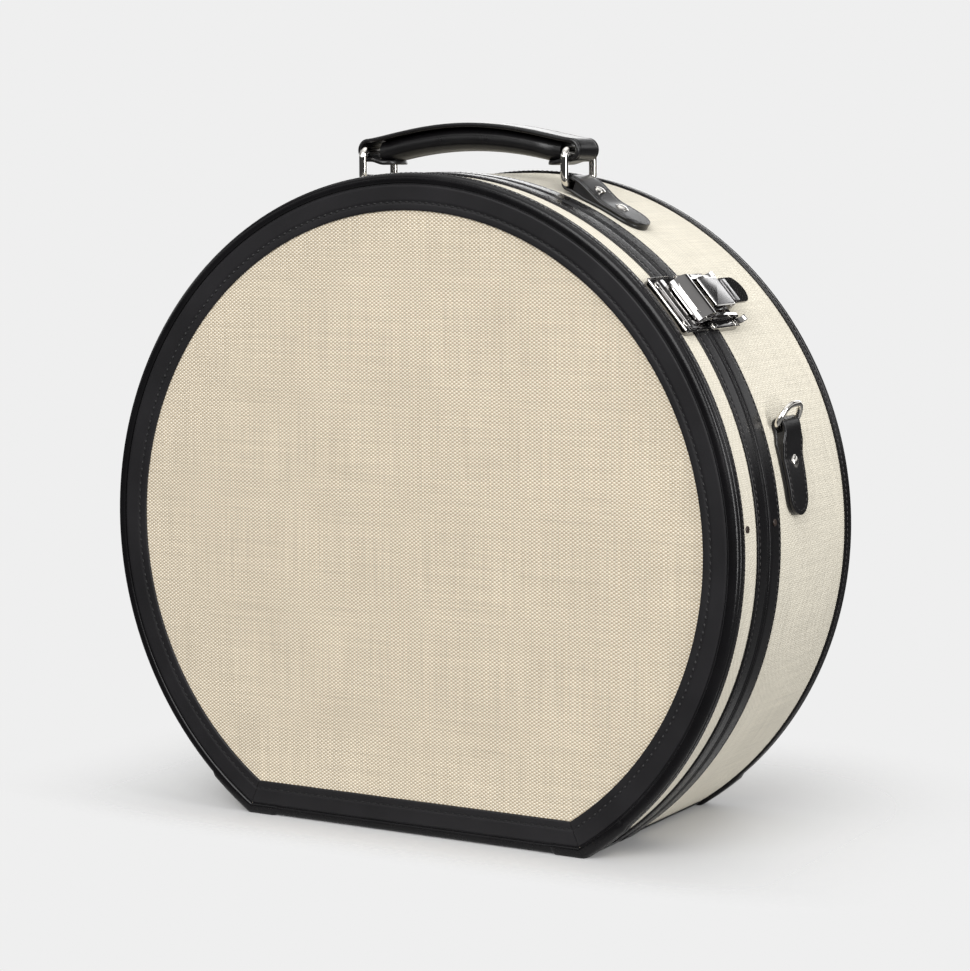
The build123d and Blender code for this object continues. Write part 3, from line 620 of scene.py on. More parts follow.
def strap_section(width: float, thick: float, edge: float, inset: float = 0.0, channel: float = 0.0,
                  count: int = 15) -> np.ndarray:
    """A strap's closed cross-section, (across, up).

    up = +-T/2 sqrt(1 - e^2), where e runs from 0 to 1 over the rounded edge, less a stitch channel on top,
    depth exp(-((|a| - h + inset) / CHANNEL_W)^2).

    Args:
        width: across.
        thick: through.
        edge: how far the rounding reaches in.
        inset: of the stitch channel from the edge.
        channel: its depth.
        count: points on each side.

    Returns:
        Points, k x 2.
    """
    half = width / 2
    across = np.sin(np.linspace(-pi / 2, pi / 2, 2 * count + 1)) * half
    over = np.clip((np.abs(across) - half + edge) / edge, 0, 1)
    up = thick / 2 * np.sqrt(1 - over**2)
    top = up - channel * np.exp(-(((np.abs(across) - half + inset) / CHANNEL_W) ** 2))
    return np.concatenate([np.stack([across, top], 1), np.stack([across, -up], 1)[-2:0:-1]])


def ribbon(path: np.ndarray, section: np.ndarray, widen: np.ndarray | float = 1.0) -> Shell:
    """A strap carried along a line in X and Z: P = path + a w y + u n, with n = (-t_z, t_x).

    Args:
        path: centre line, n x 2, in X and Z.
        section: (across, up), k x 2.
        widen: the width's share at each point.

    Returns:
        The shell, its two ends closed.
    """
    along = np.gradient(path, axis=0)
    along /= np.linalg.norm(along, axis=1, keepdims=True)
    across = section[None, :, 0] * np.broadcast_to(widen, len(path))[:, None]
    up = section[None, :, 1]
    x = path[:, 0, None] - along[:, 1, None] * up
    z = path[:, 1, None] + along[:, 0, None] * up
    return grid(np.stack([x, across, z], 2), wrap_cols=True, cap_rows=True)


@dataclass(frozen=True)
class Stitch:
    """A row of hand stitches: each is a short rounded thread whose ends sink into the leather."""

    length: float = 2.9
    pitch: float = 3.9
    radius: float = 0.36
    lift: float = 0.28
    slant: float = 0.12

    def row(self, path: np.ndarray, normal: np.ndarray) -> Shell:
        """Lay stitches along a line.

        A point is c + a L/2 t + (lift (1 - a^2) - sink + r sin b) n + r cos b s, with r = R (1 - 0.6 a^4).

        Args:
            path: the line, n x 3.
            normal: outward at each of its points, n x 3.

        Returns:
            The shell of all the stitches.
        """
        step = np.linalg.norm(np.diff(path, axis=0), axis=1)
        reach = np.concatenate([[0], np.cumsum(step)])
        count = max(int(reach[-1] // self.pitch), 1)
        at = (np.arange(count) + 0.5) * reach[-1] / count
        centre = np.stack([np.interp(at, reach, path[:, k]) for k in range(3)], 1)
        near = 0.4  # mm either way, for the line's direction
        ahead = np.stack([np.interp(at + near, reach, path[:, k]) for k in range(3)], 1)
        behind = np.stack([np.interp(at - near, reach, path[:, k]) for k in range(3)], 1)
        up = np.stack([np.interp(at, reach, normal[:, k]) for k in range(3)], 1)
        up /= np.linalg.norm(up, axis=1, keepdims=True)
        along = ahead - behind
        along -= up * np.einsum("ij,ij->i", along, up)[:, None]
        along /= np.linalg.norm(along, axis=1, keepdims=True)
        side = np.cross(up, along)
        along = along + side * self.slant
        a = np.array([-1.0, -0.55, 0.0, 0.55, 1.0])[:, None]
        rings, sides = len(a), 6
        turn = np.linspace(0, 2 * pi, sides, endpoint=False)[None, :]
        r = self.radius * (1 - 0.6 * a**4)
        lengthwise = np.broadcast_to(a * self.length / 2, (rings, sides)).ravel()
        height = (self.lift * (1 - a**2) - self.radius * 0.75 + r * np.sin(turn)).ravel()
        sideways = (r * np.cos(turn)).ravel()
        points = (
            centre[:, None]
            + along[:, None] * lengthwise[:, None]
            + up[:, None] * height[:, None]
            + side[:, None] * sideways[:, None]
        )
        one = grid(points[0].reshape(rings, sides, 3), wrap_cols=True, cap_rows=True)
        offset = (np.arange(count) * rings * sides)[:, None, None]
        faces = [(face[None] + offset).reshape(-1, face.shape[1]) for face in one.faces]
        return Shell(points.reshape(-1, 3), faces)


def shell_mesh(name: str, shell: Shell, open_sheet: bool = False) -> bpy.types.Mesh:
    """A shell as a smooth mesh in metres, its doubled points welded.

    Args:
        name: the mesh's name.
        shell: in millimetres.
        open_sheet: it encloses nothing, so its normals are worked out afresh.

    Returns:
        The mesh.
    """
    mesh = bpy.data.meshes.new(name)
    mesh.from_pydata((shell.points * MM).tolist(), [], [row for face in shell.faces for row in face.tolist()])
    if shell.uvs is not None:
        layer = mesh.uv_layers.new(name="cloth")
        layer.data.foreach_set("uv", (np.concatenate([uv.reshape(-1, 2) for uv in shell.uvs]) * MM).ravel())
    work = bmesh.new()
    work.from_mesh(mesh)
    bmesh.ops.remove_doubles(work, verts=work.verts, dist=WELD)
    if open_sheet:
        bmesh.ops.recalc_face_normals(work, faces=work.faces)
    else:
        bmesh.ops.dissolve_degenerate(work, edges=work.edges, dist=WELD)
    work.to_mesh(mesh)
    work.free()
    return mesh


# ---------------------------------------------------------------- the case's outline
def box_mm(node: str) -> tuple[np.ndarray, np.ndarray]:
    """A CAD node's lowest and highest corners, in millimetres."""
    low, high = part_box(node)
    return np.array(low) / MM, np.array(high) / MM


@dataclass(frozen=True)
class Case:
    """The sizes that every piece shares, read from the frame, in millimetres."""

    axis_z: float
    linen_r: float
    rim_r: float
    band_r: float
    front_y: float
    back_y: float
    lid_edge_y: float
    body_edge_y: float
    lid_band_y: float
    body_band_y: float
    front_rim_y: float
    back_rim_y: float
    front_linen_y: float
    back_linen_y: float
    foot_t: float

    @classmethod
    def from_frame(cls) -> "Case":
        """Read the sizes off the CAD nodes' boxes."""
        rim_low, rim_high = box_mm("front_rim")
        back_low, back_high = box_mm("back_rim")
        lid_low, lid_high = box_mm("lid_edge_band")
        band_low, band_high = box_mm("body_edge_band")
        return cls(
            axis_z=rim_high[2] - rim_high[0],
            linen_r=box_mm("body_side_linen")[1][0],
            rim_r=rim_high[0],
            band_r=band_high[0],
            front_y=rim_low[1],
            back_y=back_high[1],
            lid_edge_y=lid_high[1],
            body_edge_y=band_low[1],
            lid_band_y=lid_low[1],
            body_band_y=band_high[1],
            front_rim_y=rim_high[1],
            back_rim_y=back_low[1],
            front_linen_y=box_mm("front_panel_linen")[0][1],
            back_linen_y=box_mm("back_panel_linen")[1][1],
            foot_t=box_mm("body_foot_leather")[1][2],
        )

    def around(self, shell: Shell, angle: float) -> Shell:
        """Turn a fitting drawn on top of the drum, with z from its axis, to an angle on the right.

        Args:
            shell: the fitting.
            angle: degrees above the drum's axis.

        Returns:
            The fitting in place.
        """
        return shell.moved(about_y(radians(90 - angle)), (0, 0, self.axis_z))

    def off_axis(self, path: np.ndarray) -> np.ndarray:
        """Each point's offset from the drum's axis, in X and Z alone."""
        offset = path - np.array([0, 0, self.axis_z])
        offset[:, 1] = 0
        return offset


ARC_STEPS = 176  # points round the drum
FOOT_STEPS = 10  # points along half the foot
BEND_STEPS = 5  # points round a foot corner


@dataclass(frozen=True)
class Dee:
    """A circle cut flat along the foot, at several radii at once, with bent corners."""

    case: Case
    radius: np.ndarray
    foot: np.ndarray
    bend: float = 2.0

    def corner(self) -> tuple[np.ndarray, np.ndarray]:
        """Where the corner's bend is centred: X, and the angle at which the arc leaves it."""
        angle = np.arcsin((self.foot + self.bend - self.case.axis_z) / (self.radius - self.bend))
        return (self.radius - self.bend) * np.cos(angle), angle

    def foot_run(self, start: np.ndarray, end: np.ndarray, count: int) -> np.ndarray:
        """Points along the foot from X = start to end."""
        share = np.linspace(0, 1, count)
        x = start[:, None] * (1 - share) + end[:, None] * share
        return np.stack([x, np.broadcast_to(self.foot[:, None], x.shape)], 2)

    def bend_run(self, count: int) -> np.ndarray:
        """Points round the right-hand corner.

        Args:
            count: how many.

        Returns:
            Rows x count x 2.
        """
        centre_x, angle = self.corner()
        turn = -pi / 2 + np.linspace(0, 1, count) * (angle[:, None] + pi / 2)
        x = centre_x[:, None] + self.bend * np.cos(turn)
        z = (self.foot + self.bend)[:, None] + self.bend * np.sin(turn)
        return np.stack([x, z], 2)

    def arc_run(self, start: np.ndarray, end: np.ndarray, count: int) -> np.ndarray:
        """Points on the circle between two angles.

        Args:
            start: radians, for each row.
            end: radians, for each row.
            count: how many.

        Returns:
            Rows x count x 2.
        """
        share = np.linspace(0, 1, count)
        turn = start[:, None] * (1 - share) + end[:, None] * share
        x = self.radius[:, None] * np.cos(turn)
        z = self.case.axis_z + self.radius[:, None] * np.sin(turn)
        return np.stack([x, z], 2)

    def closed(self) -> np.ndarray:
        """The whole outline, anticlockwise from the foot's middle, rows x n x 2."""
        centre_x, angle = self.corner()
        zero = np.zeros_like(centre_x)
        foot = self.foot_run(zero, centre_x, FOOT_STEPS)[:, :-1]
        bend = self.bend_run(BEND_STEPS)[:, :-1]
        arc = self.arc_run(angle, pi - angle, ARC_STEPS)
        flip = np.array([-1.0, 1.0])
        return np.concatenate([foot, bend, arc, bend[:, ::-1] * flip, foot[:, :0:-1] * flip], 1)

    def over_top(self, trim: float = 0.0) -> np.ndarray:
        """The arc alone, from one sharp foot corner to the other, less a trim at each end."""
        angle = np.arcsin((self.foot - self.case.axis_z) / self.radius) + trim / self.radius
        return self.arc_run(angle, pi - angle, ARC_STEPS)

    def along_foot(self, trim: float = 0.0) -> np.ndarray:
        """The foot alone, between its sharp corners, less a trim at each end."""
        corner_x = np.sqrt(self.radius**2 - (self.foot - self.case.axis_z) ** 2) - trim
        return self.foot_run(-corner_x, corner_x, 2 * FOOT_STEPS)


def with_depth(outline: np.ndarray, y: np.ndarray) -> np.ndarray:
    """Outline rows in X and Z, each put at its own Y."""
    depth = np.broadcast_to(np.asarray(y, float)[:, None], outline.shape[:2])
    return np.stack([outline[..., 0], depth, outline[..., 1]], 2)


def arc_between(centre: tuple[float, float], radius: float, start: float, end: float, count: int) -> np.ndarray:
    """Points on a circle between two angles in degrees, k x 2."""
    turn = np.radians(np.linspace(start, end, count))
    return np.stack([centre[0] + radius * np.cos(turn), centre[1] + radius * np.sin(turn)], 1)


# ---------------------------------------------------------------- sub-assemblies
@dataclass
class Fitting:
    """A sub-assembly, which puts its own pieces into the scene."""

    case: Case
    dress: Finishes

    def settle(self, mesh: bpy.types.Mesh, sharp: float, body: str, finish: str,
               replaces: tuple[str, ...]) -> bpy.types.Object:
        """Dress a mesh and make it an object that rides on a body.

        Args:
            mesh: the piece's mesh, whose name it takes.
            sharp: edges over this angle, in degrees, stay crisp.
            body: the body that carries it.
            finish: the finish's field name.
            replaces: CAD nodes that it stands for.

        Returns:
            The object.
        """
        mesh.shade_smooth()
        mesh.set_sharp_from_angle(angle=radians(sharp))
        mesh.materials.append(self.dress.get(finish))
        piece = bpy.data.objects.new(mesh.name, mesh)
        bpy.context.scene.collection.objects.link(piece)
        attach(piece, body)
        if replaces:
            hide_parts(*replaces)
        LOG.info("%s: %d faces on %s", piece.name, len(mesh.polygons), body)
        return piece

    def add(self, name: str, shell: Shell, body: str, slot: str, finish: str, replaces: tuple[str, ...] = (),
            sharp: float = 42.0) -> bpy.types.Object:
        """Put a shell into the scene.

        Args:
            name: the piece's name.
            shell: in millimetres.
            body: the body that carries it.
            slot: not used.
            finish: the finish's field name.
            replaces: CAD nodes that it stands for.
            sharp: edges over this angle, in degrees, stay crisp.

        Returns:
            The object.
        """
        return self.settle(shell_mesh(name, shell), sharp, body, finish, replaces)

    def soften(self, name: str, node: str, body: str, finish: str, width: float) -> bpy.types.Object:
        """Put in a CAD node's shape with its edges broken, for metal that catches the light.

        Args:
            name: the piece's name.
            node: the CAD node that it stands for.
            body: the body that carries it.
            finish: the finish's field name.
            width: of the bevel, mm.

        Returns:
            The object.
        """
        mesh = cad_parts[node].data.copy()
        mesh.name = name
        work = bmesh.new()
        work.from_mesh(mesh)
        bmesh.ops.remove_doubles(work, verts=work.verts, dist=1e-6)
        bmesh.ops.dissolve_limit(work, angle_limit=radians(0.6), verts=work.verts, edges=work.edges)
        work.to_mesh(mesh)
        work.free()
        mesh.materials.clear()
        piece = self.settle(mesh, CRISP, body, finish, (node,))
        bevel = piece.modifiers.new("broken_edges", "BEVEL")
        bevel.width, bevel.segments, bevel.limit_method = width * MM, 2, "ANGLE"
        bevel.angle_limit, bevel.harden_normals = radians(CRISP), True
        return piece


@dataclass
class FlatFace(Fitting):
    """One end of the drum: linen on the board, a stitched border, a rolled rim and its corner patches."""

    side: str  # "front" or "back"
    body: str
    face_y: float
    linen_y: float
    rim_side_y: float
    border_in_r: float = 182.2
    border_in_foot: float = 19.7
    border_t: float = 1.1
    stitch_in: float = 4.6
    roll_r: float = 3.0
    patch_t: float = 0.85
    patch_w: float = 23.6
    patch_h: float = 20.5
    patch_fade: float = 0.035  # share of its length over which a patch thins at each end
    linen_t: float = 0.8
    tuck: float = 0.75  # how far the border runs under the rim
    tuck_t: float = 0.14
    mitre: float = 0.16  # half the gap where the border's strips meet
    rim_bend: float = 2.6
    rim_stitch_in: float = 1.5
    border_stitch: Stitch = Stitch(length=2.6, pitch=4.2, radius=0.62, lift=0.42)
    rim_stitch: Stitch = Stitch(length=2.2, pitch=3.2, radius=0.36, lift=0.16)

    def inward(self) -> float:
        """+1 where the box lies towards +Y."""
        return 1.0 if self.side == "front" else -1.0

    def panel(self) -> None:
        """The linen: rings of the outline scaled about a middle point, P = c + s (outline - c), and a back."""
        low, high = box_mm(f"{self.side}_panel_linen")
        radius, foot = high[0] + 0.25, low[2]
        outline = Dee(self.case, np.array([radius]), np.array([foot]), 2.0).closed()[0]
        centre = np.array([0.0, self.case.axis_z])
        scale = np.array([0, 0.12, 0.3, 0.5, 0.7, 0.88, 1.0])
        rows = centre + scale[:, None, None] * (outline - centre)
        board_y = self.linen_y + self.linen_t * self.inward()
        points = np.concatenate([
            with_depth(rows, np.full(len(scale), self.linen_y)),
            with_depth(rows[::-1], np.full(len(scale), board_y)),
        ])
        piece = self.add(f"{self.side}_linen", grid(points, wrap_cols=True), self.body, "linen_front", "face_linen",
                         (f"{self.side}_panel_linen",), 60)
        "lid_board" if self.side == "front" else "body_board"

    def border_profile(self) -> tuple[np.ndarray, np.ndarray]:
        """Closed section of the border: radius, and height over the linen, with a stitch channel."""
        outer = box_mm(f"{self.side}_border")[1][0]
        width = outer - self.border_in_r
        edge_at = np.array([0, 0.08, 0.3, 0.7])
        across = np.concatenate([edge_at, np.linspace(1.5, width - 1.5, 22), width - edge_at[::-1]])
        edge = np.minimum(np.minimum(across, width - across) / edge_at[-1], 1.0)
        height = self.border_t * (0.35 + 0.65 * np.sqrt(1 - (1 - edge) ** 2))
        height -= 0.36 * np.exp(-(((across - self.stitch_in) / 0.75) ** 2))
        skirt = [outer + 0.02, outer + self.tuck, outer + self.tuck, self.border_in_r]
        radius = np.concatenate([self.border_in_r + across, skirt])
        return radius, np.concatenate([height, [self.tuck_t, self.tuck_t, 0.02, 0.02]])

    def border(self) -> None:
        """The border strip, mitred where the arc meets the foot, and its stitches."""
        low, high = box_mm(f"{self.side}_border")
        radius, height = self.border_profile()
        known_r = [self.border_in_r, high[0], high[0] + self.tuck]
        foot = np.interp(radius, known_r, [self.border_in_foot, low[2], low[2] - 0.7])
        y = self.linen_y - self.inward() * height
        dee = Dee(self.case, radius, foot)
        strips = [
            grid(with_depth(run, y), wrap_rows=True, cap_cols=True)
            for run in (dee.over_top(self.mitre), dee.along_foot(self.mitre))
        ]
        self.add(f"{self.side}_border_strip", join_shells(strips), self.body, "leather_black", "border",
                 (f"{self.side}_border",))
        line_r = np.array([self.border_in_r + self.stitch_in])
        line_foot = np.interp(line_r, [self.border_in_r, high[0]], [self.border_in_foot, low[2]])
        seam = Dee(self.case, line_r, line_foot)
        top_y = self.linen_y - self.inward() * (self.border_t - 0.22)
        rows = []
        for run in (seam.over_top(2.0), seam.along_foot(2.0)):
            path = with_depth(run, np.array([top_y]))[0]
            normal = np.broadcast_to([0.0, -self.inward(), 0.0], path.shape)
            rows.append(self.border_stitch.row(path, normal))
        self.add(f"{self.side}_border_stitches", join_shells(rows), self.body, "leather_black", "thread")

    def rim_profile(self) -> tuple[np.ndarray, np.ndarray, np.ndarray]:
        """Closed section of the rim: radius, foot height and depth behind the face.

        The face edge is a roll of radius roll_r, then a crease, then a flat strip along the drum with a turned edge.
        """
        low, high = box_mm(f"{self.side}_panel_linen")
        inner_r, inner_foot = high[0], low[2]
        width, roll, outer = self.rim_width(), self.roll_r, self.case.rim_r
        inside = arc_between((inner_r + 1.3, 1.3), 1.3, 180, 270, 5)
        outside = arc_between((outer - 0.15 - roll, roll), roll, -90, 12, 9)
        strip = np.array([
            [outer - 0.42, 4.0], [outer - 0.42, 4.3], [outer - 0.08, 4.7], [outer, 5.1],
            [outer, 6.0], [outer - 0.05, width - 1.9], [outer - 0.22, width - 1.5], [outer - 0.05, width - 1.1],
            [outer, width - 0.55], [outer - 0.14, width - 0.16], [outer - 0.5, width], [outer - 1.5, width],
        ])
        hidden = np.array([[self.case.linen_r, 2.0], [inner_r, 2.0]])
        section = np.concatenate([inside, outside, strip, hidden])
        radius, depth = section.T
        foot = np.interp(outer - radius, [0, outer - inner_r], [0.0, inner_foot])
        foot[-3:-1] = self.case.foot_t
        return radius, foot, depth

    def rim_width(self) -> float:
        """How far the rim reaches along the drum."""
        return abs(self.rim_side_y - self.face_y)

    def rim(self) -> None:
        """The leather rim, its profile carried round the whole outline, and the side strip's stitches."""
        radius, foot, depth = self.rim_profile()
        y = self.face_y + self.inward() * depth
        points = with_depth(Dee(self.case, radius, foot, self.rim_bend).closed(), y)
        self.add(f"{self.side}_rolled_rim", grid(points, wrap_rows=True, wrap_cols=True), self.body, "leather_black",
                 "binding", (f"{self.side}_rim",), 38)
        line = Dee(self.case, np.array([self.case.rim_r]), np.array([0.0]))
        path = with_depth(line.over_top(24.0), np.array([self.rim_side_y - self.inward() * self.rim_stitch_in]))[0]
        stitches = self.rim_stitch.row(path, self.case.off_axis(path))
        self.add(f"{self.side}_rim_stitches", stitches, self.body, "leather_black", "waxed_thread")

    def patches(self) -> None:
        """Leather over the rim at both foot corners: the rim's section, raised by a thickness that dies out."""
        radius, foot, depth = self.rim_profile()
        keep = slice(1, len(radius) - 4)
        radius, foot, depth = radius[keep], foot[keep], depth[keep]
        dee = Dee(self.case, radius, foot, self.rim_bend)
        centre_x, angle = dee.corner()
        end = np.arcsin((self.patch_h - self.case.axis_z) / self.case.rim_r)
        run = np.concatenate(
            [
                dee.foot_run(centre_x - self.patch_w + 6, centre_x, 12)[:, :-1],
                dee.bend_run(7)[:, :-1],
                dee.arc_run(angle, np.full_like(angle, end), 12),
            ],
            1,
        )
        points = with_depth(run, self.face_y + self.inward() * depth)
        out = np.gradient(points, axis=0)
        ahead = np.gradient(points, axis=1)
        normal = np.cross(out, ahead)
        normal /= np.linalg.norm(normal, axis=2, keepdims=True) + 1e-9
        middle = np.array([0.0, self.face_y + self.inward() * 30, self.case.axis_z])
        normal *= np.sign(np.einsum("ijk,ijk->ij", normal, points - middle))[..., None]
        share = np.linspace(0, 1, points.shape[1])
        thick = self.patch_t * smooth(np.minimum(share, 1 - share) / self.patch_fade)
        lip = smooth(np.minimum(np.arange(len(radius)), np.arange(len(radius))[::-1]) / 2.0)
        raised = points + normal * (0.03 + thick[None, :, None] * (0.25 + 0.75 * lip[:, None, None]))
        shell = grid(np.concatenate([raised, points[::-1] - 0.2 * normal[::-1]]), wrap_rows=True, cap_cols=True)
        self.add(f"{self.side}_corner_leathers", shell.both(), self.body, "leather_black", "binding",
                 (f"{self.side}_corner_patches",))

    def build(self) -> None:
        """Make the whole face."""
        self.panel()
        self.border()
        self.rim()
        self.patches()


@dataclass
class SideSkin(Fitting):
    """Linen round the drum, a leather band along the seam, and leather under the foot, on one body."""

    body: str
    linen_y: tuple[float, float]
    band_y: tuple[float, float]  # outer edge, seam edge
    foot_y: tuple[float, float]
    stitch_in: float = 2.3
    foot_seam_gap: float = 3.4
    band_end: float = 2.7  # height at which the band stops, clear of the hinge's axis
    linen_t: float = 0.75
    corner_bend: float = 1.6
    corner_gap: float = 2.8  # from the seam, so that a corner clears the hinge's axis
    corner_climb: float = 0.036  # radians up the drum
    edging_gap: float = 1.0
    edging_climb: float = 0.017
    band_stitch: Stitch = Stitch(length=2.5, pitch=3.5, radius=0.42, lift=0.26)
    stitch_sink: float = 0.16

    def towards(self) -> float:
        """+1 where the seam's band reaches towards +Y."""
        return float(np.sign(self.band_y[0] - self.band_y[1]))

    def linen(self) -> None:
        """The cloth, P = (r cos a, y, z0 + r sin a), with its map in millimetres along and across."""
        inner = self.case.linen_r - self.linen_t
        y = np.array([self.linen_y[0], self.linen_y[1], self.linen_y[1], self.linen_y[0]])
        radius = np.array([self.case.linen_r, self.case.linen_r, inner, inner])
        dee = Dee(self.case, radius, np.full(4, self.case.foot_t))
        run = dee.over_top(0.2)
        points = with_depth(run, y)
        angle = np.unwrap(np.arctan2(points[..., 2] - self.case.axis_z, points[..., 0]), axis=1)
        uv = np.stack([angle * self.case.linen_r, points[..., 1]], 2)
        piece = self.add(f"{self.body}_linen_wrap", grid(points, wrap_rows=True, cap_cols=True, uv=uv), self.body,
                         "linen", "side_linen", (f"{self.body}_side_linen",), 60)

    def band_profile(self) -> tuple[np.ndarray, np.ndarray]:
        """Closed section: distance from the seam edge, and height over the linen.

        A bead along the seam, a crease, a flat with a stitch channel, and a thin outer edge.
        """
        width = abs(self.band_y[1] - self.band_y[0])
        thick = self.case.band_r - self.case.linen_r
        flat = np.linspace(3.3, width - 3.6, 6)
        across = np.concatenate([[0, 0.0, 0.25, 0.7, 1.25, 1.7, 2.0, 2.25, 2.6], flat,
                                 width - np.array([3.0, 2.65, 2.3, 1.95, 1.6, 0.9, 0.4, 0.1, 0.0, 0.0])])
        height = np.concatenate([
            [0, thick - 0.5, thick - 0.05, thick + 0.18, thick + 0.05, thick - 0.25, thick - 0.38, thick - 0.25,
             thick - 0.08], np.full(6, thick),
            [thick - 0.03, thick - 0.14, thick - 0.24, thick - 0.14, thick - 0.03, thick - 0.02, thick - 0.12,
             thick - 0.4, thick - 0.75, 0]])
        return across, height

    def band(self) -> None:
        """The band over the drum, a plain strip under the foot, and the stitches along its outer edge."""
        across, height = self.band_profile()
        towards = self.towards()
        y = self.band_y[1] + towards * across
        dee = Dee(self.case, self.case.linen_r + height, np.full(len(y), self.band_end))
        strips = [grid(with_depth(dee.over_top(), y), wrap_rows=True, cap_cols=True)]
        keep = across > self.foot_seam_gap
        foot_y = np.concatenate([[self.band_y[1] + towards * self.foot_seam_gap] * 2, y[keep]])
        foot_z = 1.3 - np.concatenate([[0.0, 1.2], height[keep] - 0.05])
        dee = Dee(self.case, np.full(len(foot_y), self.case.linen_r - 0.2), foot_z)
        strips.append(grid(with_depth(dee.along_foot(), foot_y), wrap_rows=True, cap_cols=True))
        self.add(f"{self.body}_seam_band", join_shells(strips), self.body, "leather_black", "binding",
                 (f"{self.body}_edge_band",))
        seam = Dee(self.case, np.array([self.case.band_r]), np.array([0.4]))
        path = with_depth(seam.over_top(9.0), np.array([self.band_y[0] - towards * self.stitch_in]))[0]
        normal = self.case.off_axis(path)
        normal = normal / np.linalg.norm(normal, axis=1, keepdims=True)
        stitches = self.band_stitch.row(path - normal * self.stitch_sink, normal)
        self.add(f"{self.body}_band_stitches", stitches, self.body, "leather_black", "waxed_thread")

    def foot_sheet(self) -> None:
        """Leather under the foot, with rolled edges."""
        y0, y1 = min(self.foot_y), max(self.foot_y)
        y = np.array([y0, y0, y0 + 0.5, y1 - 0.5, y1, y1])
        z = np.array([self.case.foot_t, 0.5, 0.05, 0.05, 0.5, self.case.foot_t])
        rows = Dee(self.case, np.full(6, self.case.linen_r - 0.1), z).along_foot()
        sheet = grid(with_depth(rows, y), wrap_rows=True, cap_cols=True)
        self.add(f"{self.body}_foot_sheet", sheet, self.body, "leather_black", "binding",
                 (f"{self.body}_foot_leather",))

    def corner_wrap(self, span: tuple[float, float], proud: tuple[float, float], foot: tuple[float, float],
                    climb: float, count: int) -> np.ndarray:
        """A thin wrap round the foot's right corner: its bend, then an arc a little way up the drum.

        Args:
            span: its two ends in Y.
            proud: inner and outer height over the linen.
            foot: inner and outer height over the ground.
            climb: how far up the drum it goes, in radians.
            count: points up the drum.

        Returns:
            Points, 4 x n x 3: inner, outer, outer, inner.
        """
        rise, sole = np.array([*proud, *proud[::-1]]), np.array([*foot, *foot[::-1]])
        dee = Dee(self.case, self.case.linen_r + rise, sole, self.corner_bend)
        _, angle = dee.corner()
        run = np.concatenate([dee.bend_run(6)[:, :-1], dee.arc_run(angle, angle + climb, count)], 1)
        return with_depth(run, np.repeat(span, 2))

    def seam_corners(self) -> None:
        """A small leather that wraps each foot corner by the seam and thins as it climbs."""
        towards = self.towards()
        reach = abs(self.band_y[0] - self.band_y[1]) + 3.0
        if self.body == "lid":
            reach = abs(self.case.front_rim_y - self.band_y[1])
        span = (self.band_y[1] + towards * self.corner_gap, self.band_y[1] + towards * (reach - 0.3))
        points = self.corner_wrap(span, (0.3, 1.75), (1.2, 0.12), self.corner_climb, 8)
        thin = smooth((1 - np.linspace(0, 1, points.shape[1])) / 0.3)
        inner = points[[0, 3]]
        points[1:3] = inner + (points[1:3] - inner) * (0.75 + 0.25 * thin[:, None])
        corner = grid(points, wrap_rows=True, cap_cols=True)
        self.add(f"{self.body}_seam_corners", corner.both(), self.body, "leather_black", "binding")

    def foot_edging(self) -> None:
        """The foot leather's narrow turned edge along each side, from the band to the rim."""
        rim_y = self.case.front_rim_y if self.body == "lid" else self.case.back_rim_y
        span = (self.band_y[0] - self.towards() * self.edging_gap, rim_y)
        points = self.corner_wrap(span, (0.05, 0.7), (0.9, 0.1), self.edging_climb, 4)
        edging = grid(points, wrap_rows=True, cap_cols=True)
        self.add(f"{self.body}_foot_edging", edging.both(), self.body, "leather_black", "binding")

    def build(self) -> None:
        """Make the skin."""
        self.linen()
        self.band()
        self.foot_sheet()
        self.seam_corners()
        self.foot_edging()


@dataclass
class Interior(Fitting):
    """Linings inside both halves, and the plain parts that keep their CAD shape."""

    bend: float = 3.0

    def lining(self, body: str) -> None:
        """A thin tub of cotton: outside down to the floor and back up the inside.

        Args:
            body: the half that it lines, body or lid.
        """
        low, high = box_mm(f"{body}_lining")
        closed_y, open_y = (high[1], low[1]) if body == "body" else (low[1], high[1])
        inward = np.sign(open_y - closed_y)
        centre = np.array([0.0, self.case.axis_z])
        outer = Dee(self.case, np.array([high[0]]), np.array([low[2]]), self.bend).closed()[0]
        inner = Dee(self.case, np.array([high[0] - 0.95]), np.array([low[2] + 0.95]), self.bend).closed()[0]
        rows, depth = [], []
        for scale, y, line in [
            (0, closed_y, outer), (0.5, closed_y, outer), (0.985, closed_y, outer), (1, closed_y + inward * 1.5, outer),
            (1, open_y - inward * 0.3, outer), (0.999, open_y, outer), (1.001, open_y, inner),
            (1, open_y - inward * 0.3, inner), (1, closed_y + inward * 4.0, inner),
            (0.996, closed_y + inward * 2.0, inner), (0.985, closed_y + inward * 1.0, inner),
            (0.5, closed_y + inward * 1.0, inner), (0, closed_y + inward * 1.0, inner),
        ]:
            rows.append(centre + scale * (line - centre))
            depth.append(y)
        points = with_depth(np.stack(rows), np.array(depth))
        self.add(f"{body}_cotton_lining", grid(points, wrap_cols=True), body, "lining", "lining", (f"{body}_lining",))

    def keep(self, node: str, finish: str) -> None:
        """Dress a CAD node whose shape is right."""
        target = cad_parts[node]
        target.data.materials.clear()
        target.data.materials.append(self.dress.get(finish))

    def build(self) -> None:
        """Make the linings and dress the boards, the lip and the hinge."""
        self.lining("body")
        self.lining("lid")
        for node in ("body_board", "lid_board", "register_lip"):
            self.keep(node, "board")
        for node in ("hinge_body_leaf", "hinge_lid_leaf", "hinge_pin"):
            self.keep(node, "hinge_steel")


